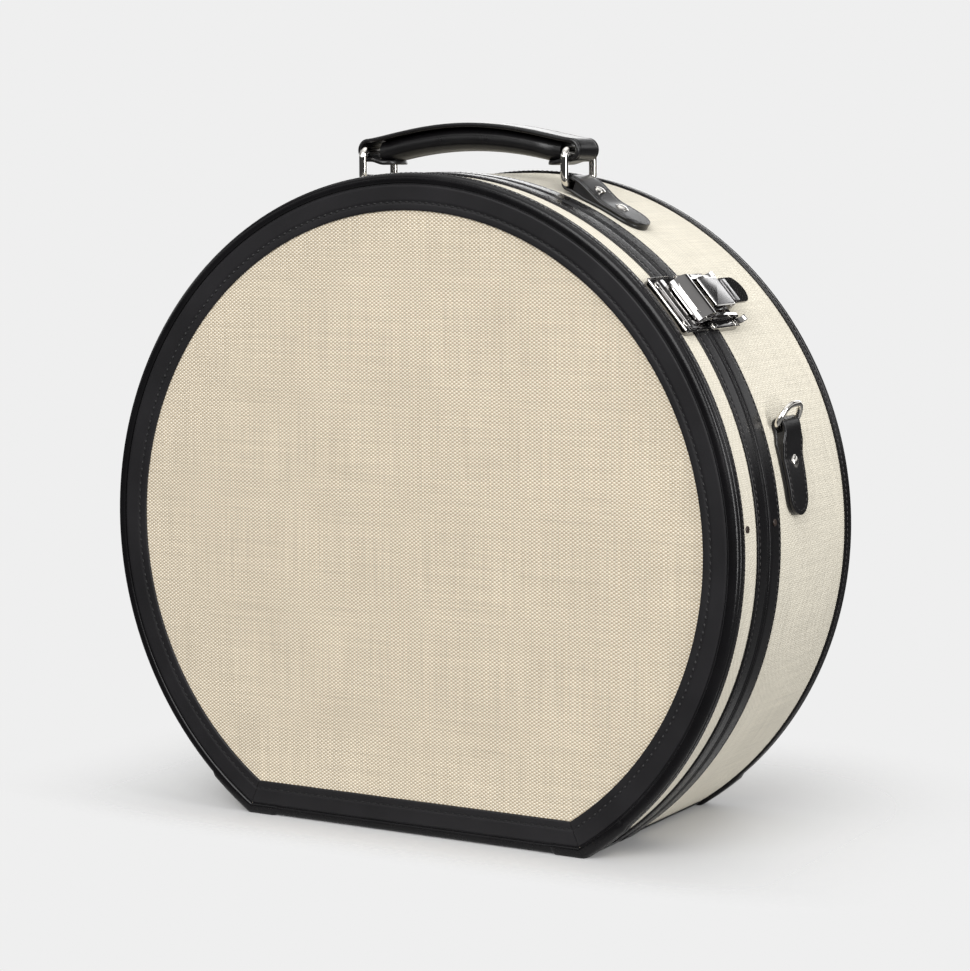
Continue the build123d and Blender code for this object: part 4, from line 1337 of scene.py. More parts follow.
@dataclass
class TopHandle(Fitting):
    """The carrying handle: a stitched strap looped round two rings over a padded core."""

    strap_t: float = 2.6
    loop_r: float = 6.7
    tongue: float = 17.0
    pad_w: float = 21.0
    pad_mid_t: float = 13.2
    pad_end_drop: float = 5.6
    pad_half: float = 49.0
    wire_r: float = 2.25
    ring_bend: float = 4.2
    stitch_in: float = 2.3
    roundness: float = 2.7  # the power of the padded core's section
    core_inset: float = 5.5  # from a ring's middle to the core's end
    seam_half: float = 1.9
    seam_reach: float = 44.0
    seam_ridge: float = 0.45
    waist: float = 0.05  # share by which the core narrows under the strap
    narrowing: float = 0.10  # share by which it narrows beyond the seam
    top_stitch: Stitch = Stitch(length=2.6, pitch=3.6, radius=0.36, lift=0.22)
    under_stitch: Stitch = Stitch(length=2.4, pitch=3.8, radius=0.38, lift=0.2)

    def __post_init__(self) -> None:
        """Read the rings' and the strap's places from the frame."""
        low, high = box_mm("handle_ring_right")
        self.ring_x = (low[0] + high[0]) / 2
        self.ring_low, self.ring_high = low[2] + self.wire_r, high[2] - self.wire_r
        self.ring_half = high[1] - self.wire_r
        self.top_z = box_mm("handle_strap")[1][2]
        self.strap_w = 2 * box_mm("handle_strap")[1][1]

    def arch(self, x: np.ndarray) -> np.ndarray:
        """Height of the strap's centre line: it leaves the loops level, steepens, and is flat in the middle."""
        base = self.ring_high + self.loop_r - self.strap_t / 2
        rise = self.top_z - self.strap_t / 2 - base
        return base + rise * np.clip(1 - (x / self.ring_x) ** 2, 0, 1) ** 1.3

    def strap_line(self) -> tuple[np.ndarray, np.ndarray]:
        """The strap's centre line from tongue to tongue, and its width's share along it."""
        r = self.loop_r - self.strap_t / 2
        share = np.linspace(0, 1, 22) ** 1.4
        tongue_x = -self.ring_x + self.tongue * (1 - share)
        low = self.ring_high - r
        under = self.pad_sizes(tongue_x)[1] - self.strap_t * 0.22
        away = smooth((tongue_x + self.ring_x - 2.0) / 9.0)
        tongue = np.stack([tongue_x, low + (under - low) * away], 1)[:-1]
        loop = arc_between((-self.ring_x, self.ring_high), r, 270, 90, 22)[:-1]
        x = -self.ring_x * np.cos(np.linspace(0, pi, 120))
        top = np.stack([x, self.arch(x)], 1)
        flip = np.array([-1.0, 1.0])
        line = np.concatenate([tongue, loop, top, loop[::-1] * flip, tongue[::-1] * flip])
        reach = np.concatenate([[0], np.cumsum(np.linalg.norm(np.diff(line, axis=0), axis=1))])
        end = np.minimum(reach, reach[-1] - reach) / 9.0
        return line, np.where(end < 1, np.sqrt(np.clip(1 - (1 - end) ** 2, 0.02, 1)), 1.0)

    def strap(self) -> None:
        """The strap with its channelled, rounded edges."""
        line, widen = self.strap_line()
        section = strap_section(self.strap_w, self.strap_t, 1.1, self.stitch_in, 0.35)
        self.add("handle_top_strap", ribbon(line, section, widen), "handle", "handle_leather", "strap",
                 ("handle_strap",), 50)
        x = np.linspace(-self.ring_x - 3.0, self.ring_x + 3.0, 120)
        inside = np.clip(x, -self.ring_x, self.ring_x)
        z = self.arch(inside) + self.strap_t / 2 - 0.25
        rows = []
        for side in (-1, 1):
            path = np.stack([x, np.full_like(x, side * (self.strap_w / 2 - self.stitch_in)), z], 1)[3:-3]
            slope = np.gradient(path[:, 2], path[:, 0])
            normal = np.stack([-slope, np.zeros_like(slope), np.ones_like(slope)], 1)
            rows.append(self.top_stitch.row(path, normal))
        self.add("handle_strap_stitches", join_shells(rows), "handle", "handle_leather", "waxed_thread")

    def pad_sizes(self, x: np.ndarray) -> tuple[np.ndarray, np.ndarray]:
        """Top and bottom of the padded core.

        Args:
            x: places along the handle.

        Returns:
            The two heights at each x.
        """
        top = self.arch(x) - self.strap_t / 2 + 0.05
        middle = self.top_z - self.strap_t - self.pad_mid_t
        drop = middle - self.pad_end_drop * (x / self.pad_half) ** 2
        lowest = self.ring_high - self.loop_r + 0.2
        return top, np.maximum(drop, lowest + 0.15 * (drop - lowest))

    def pad(self) -> None:
        """The core: sections |y/w|^2.7 + |z/h|^2.7 = 1 between the strap and the underside, with a seam below."""
        half = self.ring_x - self.core_inset
        share = np.linspace(-1, 1, 90)
        x = half * np.sin(share * pi / 2)
        top, bottom = self.pad_sizes(x)
        end = smooth((half - np.abs(x)) / 1.2) * 0.9 + 0.1
        turn = np.linspace(0, 2 * pi, 48, endpoint=False)
        power = 2 / self.roundness
        across = np.sign(np.cos(turn)) * np.abs(np.cos(turn)) ** power
        up = np.sign(np.sin(turn)) * np.abs(np.sin(turn)) ** power
        ridge = self.seam_ridge * np.exp(-((np.cos(turn) / 0.10) ** 2)) * (np.sin(turn) < 0)
        waist = 1 - self.waist * np.exp(-(((np.sin(turn) - 0.55) / 0.22) ** 2))
        wide = self.pad_w / 2 * (1 - self.narrowing * smooth((np.abs(x) - self.seam_reach) / 12.0))
        y = across[None] * waist[None] * (wide * end)[:, None]
        middle, tall = (top + bottom) / 2, (top - bottom) / 2
        z = middle[:, None] + up[None] * (tall * end)[:, None] - ridge[None]
        points = np.stack([np.broadcast_to(x[:, None], y.shape), y, z], 2)
        piece = self.add("handle_padded_core", grid(points, wrap_cols=True, cap_rows=True), "handle", "handle_leather",
                         "strap", ("handle_pad",), 60)
        path_x = np.linspace(-self.seam_reach, self.seam_reach, 60)
        low = self.pad_sizes(path_x)[1]
        rows = []
        for side in (-self.seam_half, self.seam_half):
            path = np.stack([path_x, np.full_like(path_x, side), low + 0.05], 1)
            rows.append(self.under_stitch.row(path, np.broadcast_to([0.0, 0.0, -1.0], path.shape)))
        self.add("handle_underside_stitches", join_shells(rows), "handle", "handle_leather", "pale_thread")

    def ring(self) -> Shell:
        """A rounded rectangle of wire, standing across the box."""
        return tube(rounded_loop(self.ring_half, self.ring_low, self.ring_high, self.ring_bend), self.wire_r)

    def build(self) -> None:
        """Make the handle and its two rings."""
        self.strap()
        self.pad()
        ring = self.ring().moved(np.eye(3), (self.ring_x, 0, 0))
        self.add("nickel_ring_right", ring, "ring_right", "nickel", "nickel", ("handle_ring_right",))
        self.add("nickel_ring_left", ring.mirrored(), "ring_left", "nickel", "nickel", ("handle_ring_left",))


def rounded_loop(half: float, low: float, high: float, bend: float) -> np.ndarray:
    """A closed rounded rectangle in the YZ plane, n x 3.

    Args:
        half: half its width along Y.
        low: its lower Z.
        high: its upper Z.
        bend: the corners' radius.

    Returns:
        The points, evenly enough spaced for a tube.
    """
    corners = [(half - bend, high - bend, 0), (-half + bend, high - bend, 90),
               (-half + bend, low + bend, 180), (half - bend, low + bend, 270)]
    runs = [arc_between((y, z), bend, start, start + 90, 12) for y, z, start in corners]
    ends = [np.linspace(runs[k][-1], runs[(k + 1) % 4][0], 7)[1:-1] for k in range(4)]
    flat = np.concatenate([part for pair in zip(runs, ends) for part in pair])
    return np.concatenate([np.zeros((len(flat), 1)), flat], 1)


@dataclass
class Tab(Fitting):
    """A leather tab folded round a ring's bar and riveted to the drum, drawn on top and turned to its place.

    It stands at an angle above the drum's axis, its ring's bar rises over the linen, and its upper layer slopes
    down from the fold. Lengths run along the drum from the bar.
    """

    name: str
    nodes: tuple[str, str]
    rivet_node: str
    angle: float
    bar_rise: float
    fold_r: float
    slope: float
    length: float
    width: float
    neck: float
    thick: float
    rivets: tuple[float, ...]
    taper: float = 0.0
    groove: float = 2.3
    stitch: Stitch = Stitch(length=2.2, pitch=3.3, radius=0.32, lift=0.2)

    def on_drum(self, along: np.ndarray, radius: np.ndarray) -> np.ndarray:
        """Points `along` mm round the drum from the top, at a radius from its axis, in X and Z."""
        turn = along / self.case.linen_r
        return np.stack([radius * np.sin(turn), radius * np.cos(turn)], 1)

    def layer_radius(self, along: np.ndarray, upper: bool) -> np.ndarray:
        """Radius of a layer's centre line: level with the drum, rising to the fold.

        Args:
            along: distances from the bar.
            upper: the outer layer, or else the one on the drum.

        Returns:
            The radius at each distance.
        """
        layer = self.thick / 2
        bar = self.case.linen_r + self.bar_rise
        if upper:
            flat = self.case.linen_r + 1.5 * layer
            return flat + (bar + self.fold_r - layer / 2 - flat) * (1 - smooth(along / self.slope * 0.96))
        flat = self.case.linen_r + 0.5 * layer + 0.05
        return flat + (bar - self.fold_r + layer / 2 - flat) * (1 - smooth(along / 14.0))

    def half_width(self, along: np.ndarray) -> np.ndarray:
        """Half the tab's width: a neck at the ring, full width, a slight taper, and a round tip.

        Args:
            along: distances from the bar.

        Returns:
            The half width at each distance.
        """
        half = self.width / 2
        grown = self.neck / 2 + (half - self.neck / 2) * smooth((along - self.fold_r) / 6.0)
        grown = grown * (1 - self.taper * smooth((along - 14) / (self.length - 14)))
        tip = half * (1 - self.taper)
        over = np.clip((along - (self.length - tip)) / tip, 0, 1)
        return grown * np.sqrt(np.clip(1 - over**2.3, 0.0004, 1))

    def along_rows(self) -> np.ndarray:
        """Distances from the bar to the tip, closer together at the round end."""
        body = np.linspace(0, self.length - self.width / 2, 34)[:-1]
        end = self.length - self.width / 2 * (1 - np.sin(np.linspace(0, pi / 2, 16)))
        return np.concatenate([body, end])

    def leather(self) -> Shell:
        """Both layers in one strap, round the bar, with the wedge between them filled."""
        layer = self.thick / 2
        bar = self.case.linen_r + self.bar_rise
        along = self.along_rows()
        lower = self.on_drum(along, self.layer_radius(along, False))[::-1]
        fold = arc_between((0.0, bar), self.fold_r - layer / 2, 270, 90, 20)[1:-1]
        upper = self.on_drum(along, self.layer_radius(along, True))
        line = np.concatenate([lower, fold, upper])
        half = np.concatenate([self.half_width(along)[::-1], np.full(18, self.neck / 2), self.half_width(along)])
        section = strap_section(self.width, layer * 0.96, 0.75, self.groove, 0.22)
        strap = ribbon(line, section, half / (self.width / 2))
        rows = np.linspace(self.fold_r * 0.9, self.slope, 14)
        top = self.layer_radius(rows, True) - layer * 0.42
        low = self.layer_radius(rows, False) + layer * 0.42
        high_edge, low_edge = self.on_drum(rows, top), self.on_drum(rows, low)
        half = self.half_width(rows) - 0.35
        points = np.stack(
            [
                np.stack([edge[:, 0], side * half, edge[:, 1]], 1)
                for edge, side in ((low_edge, -1), (low_edge, 1), (high_edge, 1), (high_edge, -1))
            ],
            1,
        )
        return join_shells([strap, grid(points, wrap_cols=True, cap_rows=True)])

    def stitches(self) -> Shell:
        """A row inside the edge, down one side, round the tip and back."""
        inset, tip = self.groove, self.length - self.width / 2
        round_end = (self.width / 2 - inset) * (1 - np.sin(np.linspace(0, pi / 2, 14)))
        along = np.concatenate([np.linspace(self.slope * 0.45, tip, 30)[:-1], self.length - inset - round_end])
        share = np.clip((along - tip) / (self.width / 2 - inset), 0, 1)
        half = (self.half_width(np.minimum(along, tip)) - inset) * np.sqrt(1 - share**2.2)
        radius = self.layer_radius(along, True) + self.thick / 4 - 0.12
        edge = self.on_drum(along, radius)
        there = np.stack([edge[:, 0], half, edge[:, 1]], 1)
        path = np.concatenate([there, (there * [1, -1, 1])[-2::-1]])
        turn = np.arctan2(path[:, 0], path[:, 2])
        normal = np.stack([np.sin(turn), np.zeros_like(turn), np.cos(turn)], 1)
        return self.stitch.row(path, normal)

    def rivet_heads(self) -> Shell:
        """Domed rivets with a thin collar, let into the leather."""
        heads = []
        for along in self.rivets:
            seat = self.layer_radius(np.array([along]), True)[0] + self.thick / 4
            turn = along / self.case.linen_r
            head = lathe([(0, -1.2), (3.7, -1.2), (3.9, -0.1), (3.85, 0.15), (3.5, 0.28), (3.35, 0.3), (3.1, 0.62),
                          (2.5, 0.98), (1.7, 1.22), (0.8, 1.34), (0, 1.37)])
            heads.append(head.moved(about_y(turn), (seat * np.sin(turn), 0, seat * np.cos(turn))))
        return join_shells(heads)

    def build(self) -> None:
        """Make the tab on both sides, with its stitches and rivets."""
        leather = self.case.around(self.leather(), self.angle)
        self.add(f"{self.name}_leather_right", leather, "body", "handle_leather", "strap", (self.nodes[0],), 50)
        self.add(f"{self.name}_leather_left", leather.mirrored(), "body", "handle_leather", "strap",
                 (self.nodes[1],), 50)
        self.add(f"{self.name}_stitches", self.case.around(self.stitches(), self.angle).both(), "body",
                 "handle_leather", "waxed_thread")
        self.add(f"{self.name}_rivet_heads", self.case.around(self.rivet_heads(), self.angle).both(), "body", "nickel",
                 "nickel", (self.rivet_node,))


@dataclass
class SideRings(Fitting):
    """The D-shaped rings in the side tabs."""

    wire_r: float = 1.75
    half: float = 12.5
    tall: float = 12.3
    bend: float = 2.6
    lean: float = 25.0
    angle: float = 18.8
    bar_rise: float = 4.4

    def build(self) -> None:
        """A straight bar, two small bends and a broad bow, leaning out."""
        half, bend, bow = self.half, self.bend, self.tall - self.bend
        runs = [
            np.stack([np.linspace(-half + bend, half - bend, 12), np.zeros(12)], 1)[:-1],
            arc_between((half - bend, bend), bend, -90, 0, 10)[:-1],
            arc_between((half - bow, bend), bow, 0, 90, 18),
            arc_between((bow - half, bend), bow, 90, 180, 18)[:-1],
            arc_between((bend - half, bend), bend, 180, 270, 10)[:-1],
        ]
        flat = np.concatenate(runs)
        ring = tube(np.concatenate([np.zeros((len(flat), 1)), flat], 1), self.wire_r)
        reach = self.case.linen_r + self.bar_rise
        place = (reach * np.cos(radians(self.angle)), 0, self.case.axis_z + reach * np.sin(radians(self.angle)))
        ring = ring.moved(about_y(radians(self.lean)), place)
        self.add("side_ring_right", ring, "dee_right", "nickel", "nickel", ("dee_ring_right",))
        self.add("side_ring_left", ring.mirrored(), "dee_left", "nickel", "nickel", ("dee_ring_left",))


def rounded_plan(half: float, start: float, end: float, bend: float, inset: float = 0.0) -> np.ndarray:
    """A rounded rectangle in X and Y, n x 2, drawn in by an inset.

    Args:
        half: half its width in X.
        start: its front Y.
        end: its back Y.
        bend: its corners' radius.
        inset: drawn in all round.

    Returns:
        The closed outline.
    """
    half, start, end, bend = half - inset, start + inset, end - inset, max(bend - inset, 0.08)
    corners = [(half - bend, end - bend, 0), (bend - half, end - bend, 90),
               (bend - half, start + bend, 180), (half - bend, start + bend, 270)]
    return np.concatenate([arc_between((x, y), bend, turn, turn + 90, 7) for x, y, turn in corners])


def slab(half: float, start: float, end: float, bend: float, low: float, high: float, edge: float = 0.25) -> Shell:
    """A plate with a bevelled upper edge: outline rows at (inset, z) = (0, low), (0, high - e), (e, high).

    Args:
        half: half its width in X.
        start: its front Y.
        end: its back Y.
        bend: its corners' radius.
        low: its underside's Z.
        high: its top's Z.
        edge: the bevel.

    Returns:
        The shell.
    """
    rows = []
    for inset, z in ((0.0, low), (0.0, high - edge), (edge * 0.3, high - edge * 0.3), (edge, high)):
        plan = rounded_plan(half, start, end, bend, inset)
        rows.append(np.concatenate([plan, np.full((len(plan), 1), z)], 1))
    return grid(np.stack(rows), wrap_cols=True, cap_rows=True)


def bead(path: np.ndarray, radius: float, sides: int = 10) -> Shell:
    """A round bead along an open line: P = path + r (cos a s + sin a n), with s level and across the line.

    Args:
        path: n x 3.
        radius: the bead's.
        sides: points round it.

    Returns:
        The shell, its ends closed.
    """
    along = np.gradient(path, axis=0)
    along /= np.linalg.norm(along, axis=1, keepdims=True)
    side = np.cross(along, [0.0, 0.0, 1.0])
    side /= np.linalg.norm(side, axis=1, keepdims=True)
    normal = np.cross(side, along)
    turn = np.linspace(0, 2 * pi, sides, endpoint=False)[None, :, None]
    points = path[:, None] + radius * (np.cos(turn) * side[:, None] + np.sin(turn) * normal[:, None])
    return grid(points, wrap_cols=True, cap_rows=True)


@dataclass
class DrawLatch(Fitting):
    """The two draw latches: the CAD shapes with broken edges, and the pressed steps, ridges and plates on them, in
    nickel darkened with painted shade and painted dark reflections and lightened with painted highlights on its edges.
    """

    angle: float = 40.7
    plate_r: float = 204.0
    lever_r: float = 212.7
    edge_x: float = 18.2

    def place(self, name: str, shell: Shell, body: str, finish: str) -> None:
        """Put a detail on both latches.

        Args:
            name: the pieces' name, before right or left.
            shell: the detail, drawn on top of the drum.
            body: the body that carries it. One that ends in _ gets right or left added.
            finish: the finish's field name.
        """
        right = self.case.around(shell, self.angle)
        for side, part in (("right", right), ("left", right.mirrored())):
            target = body + side if body.endswith("_") else body
            self.add(f"{name}_{side}", part, target, "dark_nickel", finish, sharp=28)

    def twice(self, shell: Shell, x: float) -> Shell:
        """The same detail at -x and at x."""
        return join_shells([shell.moved(np.eye(3), (side, 0, 0)) for side in (-x, x)])

    def side_beads(self, stations: tuple[float, ...], lift: float, radius: float) -> Shell:
        """A bead along each side of a plate, through points at the given Y, lifted over the plate."""
        lines = [np.array([[x, y, self.plate_r + lift] for y in stations]) for x in (-self.edge_x, self.edge_x)]
        return join_shells([bead(line, radius) for line in lines])

    def u_ridge(self, half: float, front: float, back: float, bend: float, low: float, high: float,
                radius: float) -> Shell:
        """A bead bent in a U round the link: back along one side, across the front, back along the other.

        Args:
            half: half the U's width in X.
            front: Y of its closed end.
            back: Y of its open end.
            bend: its corners' radius.
            low: Z at the front.
            high: Z at the back.
            radius: the bead's.

        Returns:
            The shell, at z = low + (high - low) smooth((y - front) / (back - front)).
        """
        flat = np.concatenate([
            [[-half, back]], arc_between((-half + bend, front + bend), bend, 180, 270, 9),
            arc_between((half - bend, front + bend), bend, 270, 360, 9), [[half, back]],
        ])
        reach = np.concatenate([[0], np.cumsum(np.linalg.norm(np.diff(flat, axis=0), axis=1))])
        at = np.linspace(0, reach[-1], 60)
        x, y = np.interp(at, reach, flat[:, 0]), np.interp(at, reach, flat[:, 1])
        z = low + (high - low) * smooth((y - front) / (back - front))
        return bead(np.stack([x, y, z], 1), radius)

    def ear(self, side: float) -> Shell:
        """A tongue at the base's back corner, curling up."""
        line = np.array([[-3.0, 0.4], [0.0, 0.4], [1.6, 0.7], [3.0, 1.5], [4.0, 2.7], [4.3, 4.0]])
        strip = ribbon(line + [1.6, self.plate_r], strap_section(3.6, 0.9, 0.3))
        turned = np.array([[0.0, -1.0, 0.0], [1.0, 0.0, 0.0], [0.0, 0.0, 1.0]])
        return strip.moved(turned, (side * 15.4, 0, 0))

    def keeper_details(self) -> None:
        """A pressed step on the keeper, its folded front edge, and two dark plates laid on it as painted shade where
        its two oblong slot openings are.
        """
        r = self.plate_r
        # The keeper's step is darkened with painted shade and painted dark reflections.
        self.place("keeper_step", slab(16.6, -58.4, -49.9, 1.6, r - 0.1, r + 0.95, 0.35), "lid", "dark_nickel")
        # The folded front edge is lightened with painted highlight.
        front = np.array([[x, -65.2, r + 0.35] for x in (-17.2, -8.0, 8.0, 17.2)])
        self.place("keeper_folded_edge", bead(front, 0.62), "lid", "painted_highlight_edge")
        # Two dark plates on the keeper: painted shade where its oblong slot openings are, in the rivets' dark colour.
        slots = self.twice(slab(2.6, -62.4, -60.9, 0.7, r - 0.05, r + 0.05, 0.02), 5.4)
        self.place("keeper_slot_shade", slots, "lid", "dark_rivet")
        # The side edges are lightened with painted highlight.
        sides = self.side_beads((-64.5, -58.0, -50.0, -40.5), 0.15, 0.45)
        self.place("keeper_side_edges", sides, "lid", "painted_highlight_edge")

    def base_details(self) -> None:
        """Side steps, edges lightened with painted highlight, and rear ears on the base."""
        r = self.plate_r
        # The steps and ears are darkened with painted shade and painted dark reflections.
        steps = self.twice(slab(1.3, -27.2, -6.8, 0.5, r - 0.1, r + 0.8, 0.25), 16.3)
        self.place("base_steps", steps, "body", "dark_nickel")
        # The side edges are lightened with painted highlight.
        edges = self.side_beads((-34.0, -20.0, -10.0, 0.2), 0.12, 0.42)
        self.place("base_side_edges", edges, "body", "painted_highlight_edge")
        self.place("base_ears", join_shells([self.ear(-1.0), self.ear(1.0)]), "body", "dark_nickel")

    def link_details(self) -> None:
        """Two ridges bent round the link's front and sides, lightened with painted highlight."""
        r = self.plate_r
        ridges = [
            self.u_ridge(13.4, -48.2, -35.2, 5.5, r + 1.5, r + 3.4, 0.75),
            self.u_ridge(12.2, -46.2, -34.9, 5.0, r + 4.6, r + 7.2, 0.62),
        ]
        # The ridges are lightened with painted highlight.
        self.place("link_ridges", join_shells(ridges), "link_", "painted_highlight_edge")

    def lever_details(self) -> None:
        """The lever's flat face, darkened as a painted dark reflection, in a frame lightened with painted highlight,
        and a step across its thumb piece, darkened the same way.
        """
        r = self.lever_r
        # The frame is lightened with painted highlight.
        self.place("lever_frame", slab(9.7, -30.6, -7.2, 1.0, r - 0.15, r + 0.35, 0.3), "lever_", "painted_highlight_edge")
        # The face and the thumb step are darkened as a painted dark reflection.
        self.place("lever_face", slab(8.9, -29.8, -8.0, 0.8, r + 0.2, r + 0.62, 0.12), "lever_", "lever_face")
        self.place("thumb_step", slab(7.6, -4.4, 1.4, 0.8, r - 0.1, r + 0.45, 0.25), "lever_", "lever_face")

    def build(self) -> None:
        """Make both latches and their rivets."""
        # The keeper, base, lever and link take the nickel darkened with painted shade and painted dark reflections; the
        # pins keep the plain nickel.
        for side in ("right", "left"):
            for node, body, finish, bevel in (
                ("latch_keeper", "lid", "dark_nickel", 0.35),
                ("latch_base", "body", "dark_nickel", 0.3),
                ("latch_pin", "body", "nickel", 0.15),
                ("latch_lever", f"lever_{side}", "dark_nickel", 0.3),
                ("latch_link", f"link_{side}", "dark_nickel", 0.35),
                ("latch_link_pin", f"lever_{side}", "nickel", 0.15),
            ):
                self.soften(f"{node}_plated_{side}", f"{node}_{side}", body, finish, bevel)
        self.keeper_details()
        self.base_details()
        self.link_details()
        self.lever_details()
        self.rivets()

    def rivets(self) -> None:
        """Small domed rivets through the plates, and the two dark ones at mid height."""
        for node, body, finish in (
            ("latch_keeper_rivets", "lid", "nickel"),
            ("latch_base_rivets", "body", "nickel"),
            ("lid_stay_rivets", "lid", "dark_rivet"),
            ("body_stay_rivets", "body", "dark_rivet"),
        ):
            self.soften(f"{node}_domed", node, body, finish, 0.1)


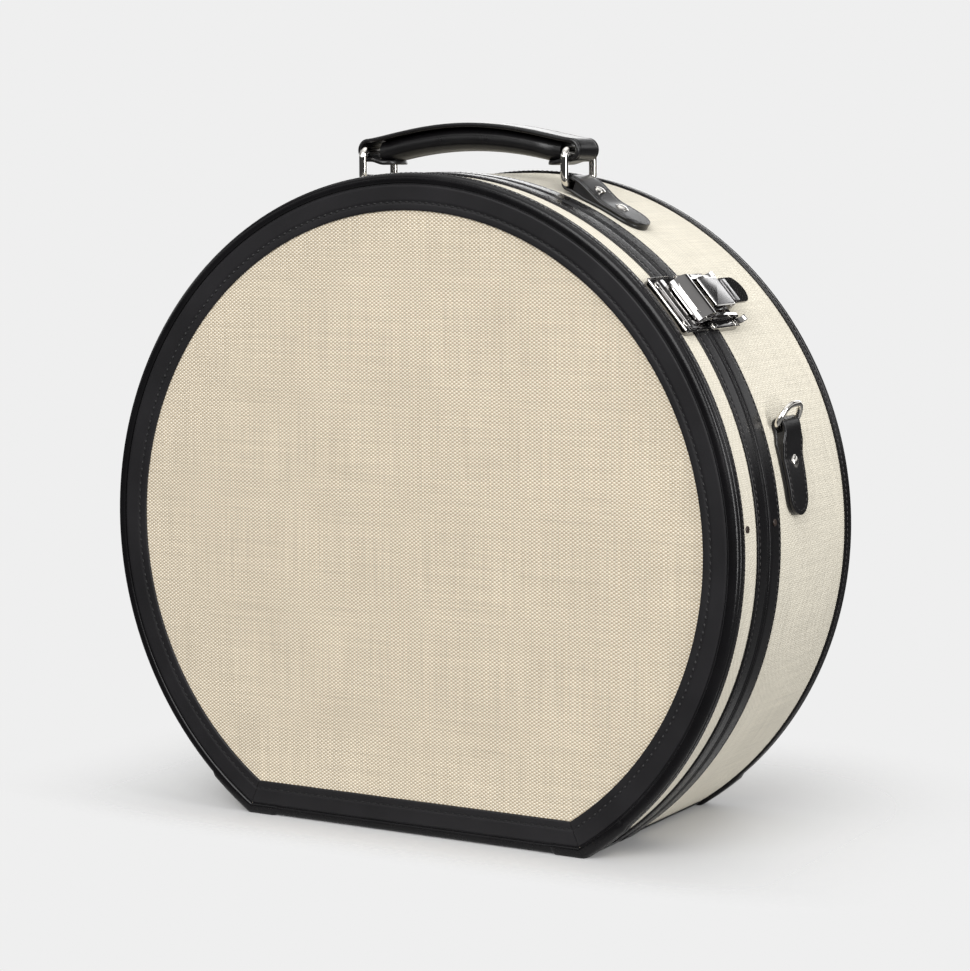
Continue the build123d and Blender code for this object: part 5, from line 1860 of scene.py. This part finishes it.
# ---------------------------------------------------------------- studio
@dataclass
class Studio:
    """A pale sweep, soft lamps and the camera."""

    place: tuple[float, float, float] = (0.81798, -1.40224, 0.38543)
    turn: tuple[float, float, float] = (83.1758, 0.1359, 30.0874)
    lens: float = 104.085
    backdrop: float = 0.863
    foot_half: tuple[float, float] = (0.11, 0.078)
    front_fade: float = 3.2  # how much faster the floor fades in front, where the open lid lies
    fade_reach: float = 0.20
    floor_alpha: float = 0.92
    floor_tones: tuple[float, float] = (0.55, 0.54)
    floor_drop: float = -0.05  # mm
    lamps_aim: tuple[float, float, float] = (0, 0, 0.18)
    world_light: float = 0.86
    sky: tuple[tuple[float, float], ...] = (
        (0.0, 0.42), (0.40, 0.14), (0.50, 0.05), (0.55, 0.06), (0.59, 1.15), (0.65, 1.15), (0.69, 0.06),
        (0.77, 0.06), (0.82, 0.8), (0.90, 0.95), (1.0, 1.0),
    )  # height from straight down to straight up, and its light
    lamps: tuple[tuple[str, tuple[float, float, float], tuple[float, float], float], ...] = (
        ("key_softbox", (0.45, -2.6, 1.9), (2.4, 2.2), 100.0),
        ("right_softbox", (2.1, -0.35, 0.55), (0.5, 1.8), 33.0),
        ("back_softbox", (-0.9, 2.6, 0.8), (2.2, 1.4), 22.0),
        ("top_softbox", (0.1, 0.2, 2.2), (1.8, 1.4), 4.0),
    )

    def camera(self) -> None:
        """A long lens at standing-product height."""
        data = bpy.data.cameras.new("studio_camera")
        data.lens, data.sensor_width, data.clip_start = self.lens, 36.0, 0.05
        camera = bpy.data.objects.new("studio_camera", data)
        camera.location = self.place
        camera.rotation_euler = tuple(radians(part) for part in self.turn)
        bpy.context.scene.collection.objects.link(camera)
        bpy.context.scene.camera = camera

    def lamp(self, name: str, place: tuple[float, float, float], size: tuple[float, float], power: float) -> None:
        """A softbox that faces the middle of the case.

        Args:
            name: the lamp's name.
            place: metres.
            size: metres.
            power: watts.
        """
        data = bpy.data.lights.new(name, "AREA")
        data.shape, data.size, data.size_y, data.energy = "RECTANGLE", size[0], size[1], power
        lamp = bpy.data.objects.new(name, data)
        lamp.location = place
        lamp.rotation_euler = (Vector(self.lamps_aim) - Vector(place)).to_track_quat("-Z", "Y").to_euler()
        bpy.context.scene.collection.objects.link(lamp)

    def world(self) -> None:
        """An even backdrop for the camera, and a banded sky for light and for metal to reflect."""
        world = bpy.data.worlds.new("studio_world")
        bpy.context.scene.world = world
        world.use_nodes = True
        nodes, links = world.node_tree.nodes, world.node_tree.links
        nodes.clear()
        point = nodes.new("ShaderNodeTexCoord")
        split = nodes.new("ShaderNodeSeparateXYZ")
        ramp = nodes.new("ShaderNodeValToRGB")
        elements = ramp.color_ramp.elements
        elements[0].position, elements[1].position = self.sky[0][0], self.sky[-1][0]
        for where, _ in self.sky[1:-1]:
            elements.new(where)
        for element, (_, level) in zip(elements, self.sky):
            element.color = opaque((level, level, level))
        half = nodes.new("ShaderNodeMath")
        half.operation, half.inputs[1].default_value, half.inputs[2].default_value = "MULTIPLY_ADD", 0.5, 0.5
        seen = nodes.new("ShaderNodeLightPath")
        light, plain, mix = (nodes.new(kind) for kind in ("ShaderNodeBackground",) * 2 + ("ShaderNodeMixShader",))
        light.inputs[1].default_value = self.world_light
        plain.inputs[0].default_value = opaque((self.backdrop,) * 3)
        out = nodes.new("ShaderNodeOutputWorld")
        links.new(point.outputs["Generated"], split.inputs[0])
        links.new(split.outputs[2], half.inputs[0])
        links.new(half.outputs[0], ramp.inputs[0])
        links.new(ramp.outputs[0], light.inputs[0])
        links.new(seen.outputs["Is Camera Ray"], mix.inputs[0])
        links.new(light.outputs[0], mix.inputs[1])
        links.new(plain.outputs[0], mix.inputs[2])
        links.new(mix.outputs[0], out.inputs[0])

    def floor(self) -> None:
        """A pale disc, clear beyond a short reach from the foot: alpha = a (1 - smooth(distance / reach))."""
        turn = np.linspace(0, 2 * pi, 64, endpoint=False)
        radius = np.array([0.0, 600.0, 2500.0])
        points = np.stack([radius[:, None] * np.cos(turn), radius[:, None] * np.sin(turn),
                           np.full((len(radius), len(turn)), self.floor_drop)], 2)
        shell = grid(points, wrap_cols=True)
        mesh = shell_mesh("pale_floor", shell, open_sheet=True)
        tree = Tree("pale_floor")
        x, y, _ = tree.split(tree.object_point())
        beside = abs(x) - self.foot_half[0]
        ahead, behind = y * -1.0 - self.foot_half[1], y - self.foot_half[1]
        beside, ahead, behind = ((part + abs(part)) * 0.5 for part in (beside, ahead, behind))
        ahead = ahead * self.front_fade
        reach = (beside * beside + ahead * ahead + behind * behind) ** 0.5
        paint = tree.noise(tree.object_point(), 3.0, 1.0)
        base = tree.mix(paint * 0.03, *(opaque((tone,) * 3) for tone in self.floor_tones))
        alpha = (1.0 - reach.step(0.0, self.fade_reach)) * self.floor_alpha
        mesh.materials.append(
            tree.finish({"Base Color": base, "Roughness": 0.75, "Specular IOR Level": 0.15, "Alpha": alpha})
        )
        floor = bpy.data.objects.new("pale_floor", mesh)
        bpy.context.scene.collection.objects.link(floor)

    def build(self) -> None:
        """Set the stage."""
        self.camera()
        self.world()
        self.floor()
        for lamp in self.lamps:
            self.lamp(*lamp)
        bpy.context.scene.view_settings.view_transform = "Standard"


def main() -> None:
    """Build the hat box round the frame and set the stage."""
    logging.basicConfig(level=logging.INFO, format="%(name)s: %(message)s")
    case = Case.from_frame()
    dress = Finishes()
    Studio().build()
    FlatFace(case, dress, "front", "lid", case.front_y, case.front_linen_y, case.front_rim_y).build()
    FlatFace(case, dress, "back", "body", case.back_y, case.back_linen_y, case.back_rim_y).build()
    SideSkin(case, dress, "lid", (case.front_linen_y + 0.8, case.lid_edge_y), (case.lid_band_y, case.lid_edge_y),
             (case.front_rim_y, case.lid_band_y)).build()
    SideSkin(case, dress, "body", (case.back_linen_y - 0.8, case.body_edge_y), (case.body_band_y, case.body_edge_y),
             (case.back_rim_y, case.body_band_y)).build()
    Interior(case, dress).build()
    TopHandle(case, dress).build()
    Tab(case, dress, "chape", ("handle_chape_right", "handle_chape_left"), "chape_rivets", angle=71.33,
        bar_rise=6.2, fold_r=4.5, slope=24.0, length=48.0, width=25.6, neck=25.6, thick=4.2,
        rivets=(13.0, 30.0)).build()
    Tab(case, dress, "side_tab", ("side_tab_right", "side_tab_left"), "side_tab_rivets", angle=18.8,
        bar_rise=4.4, fold_r=4.2, slope=19.0, length=49.5, width=25.0, neck=20.6, thick=4.4,
        rivets=(20.5,), taper=0.16).build()
    SideRings(case, dress).build()
    DrawLatch(case, dress).build()


if __name__ == "__main__":
    main()
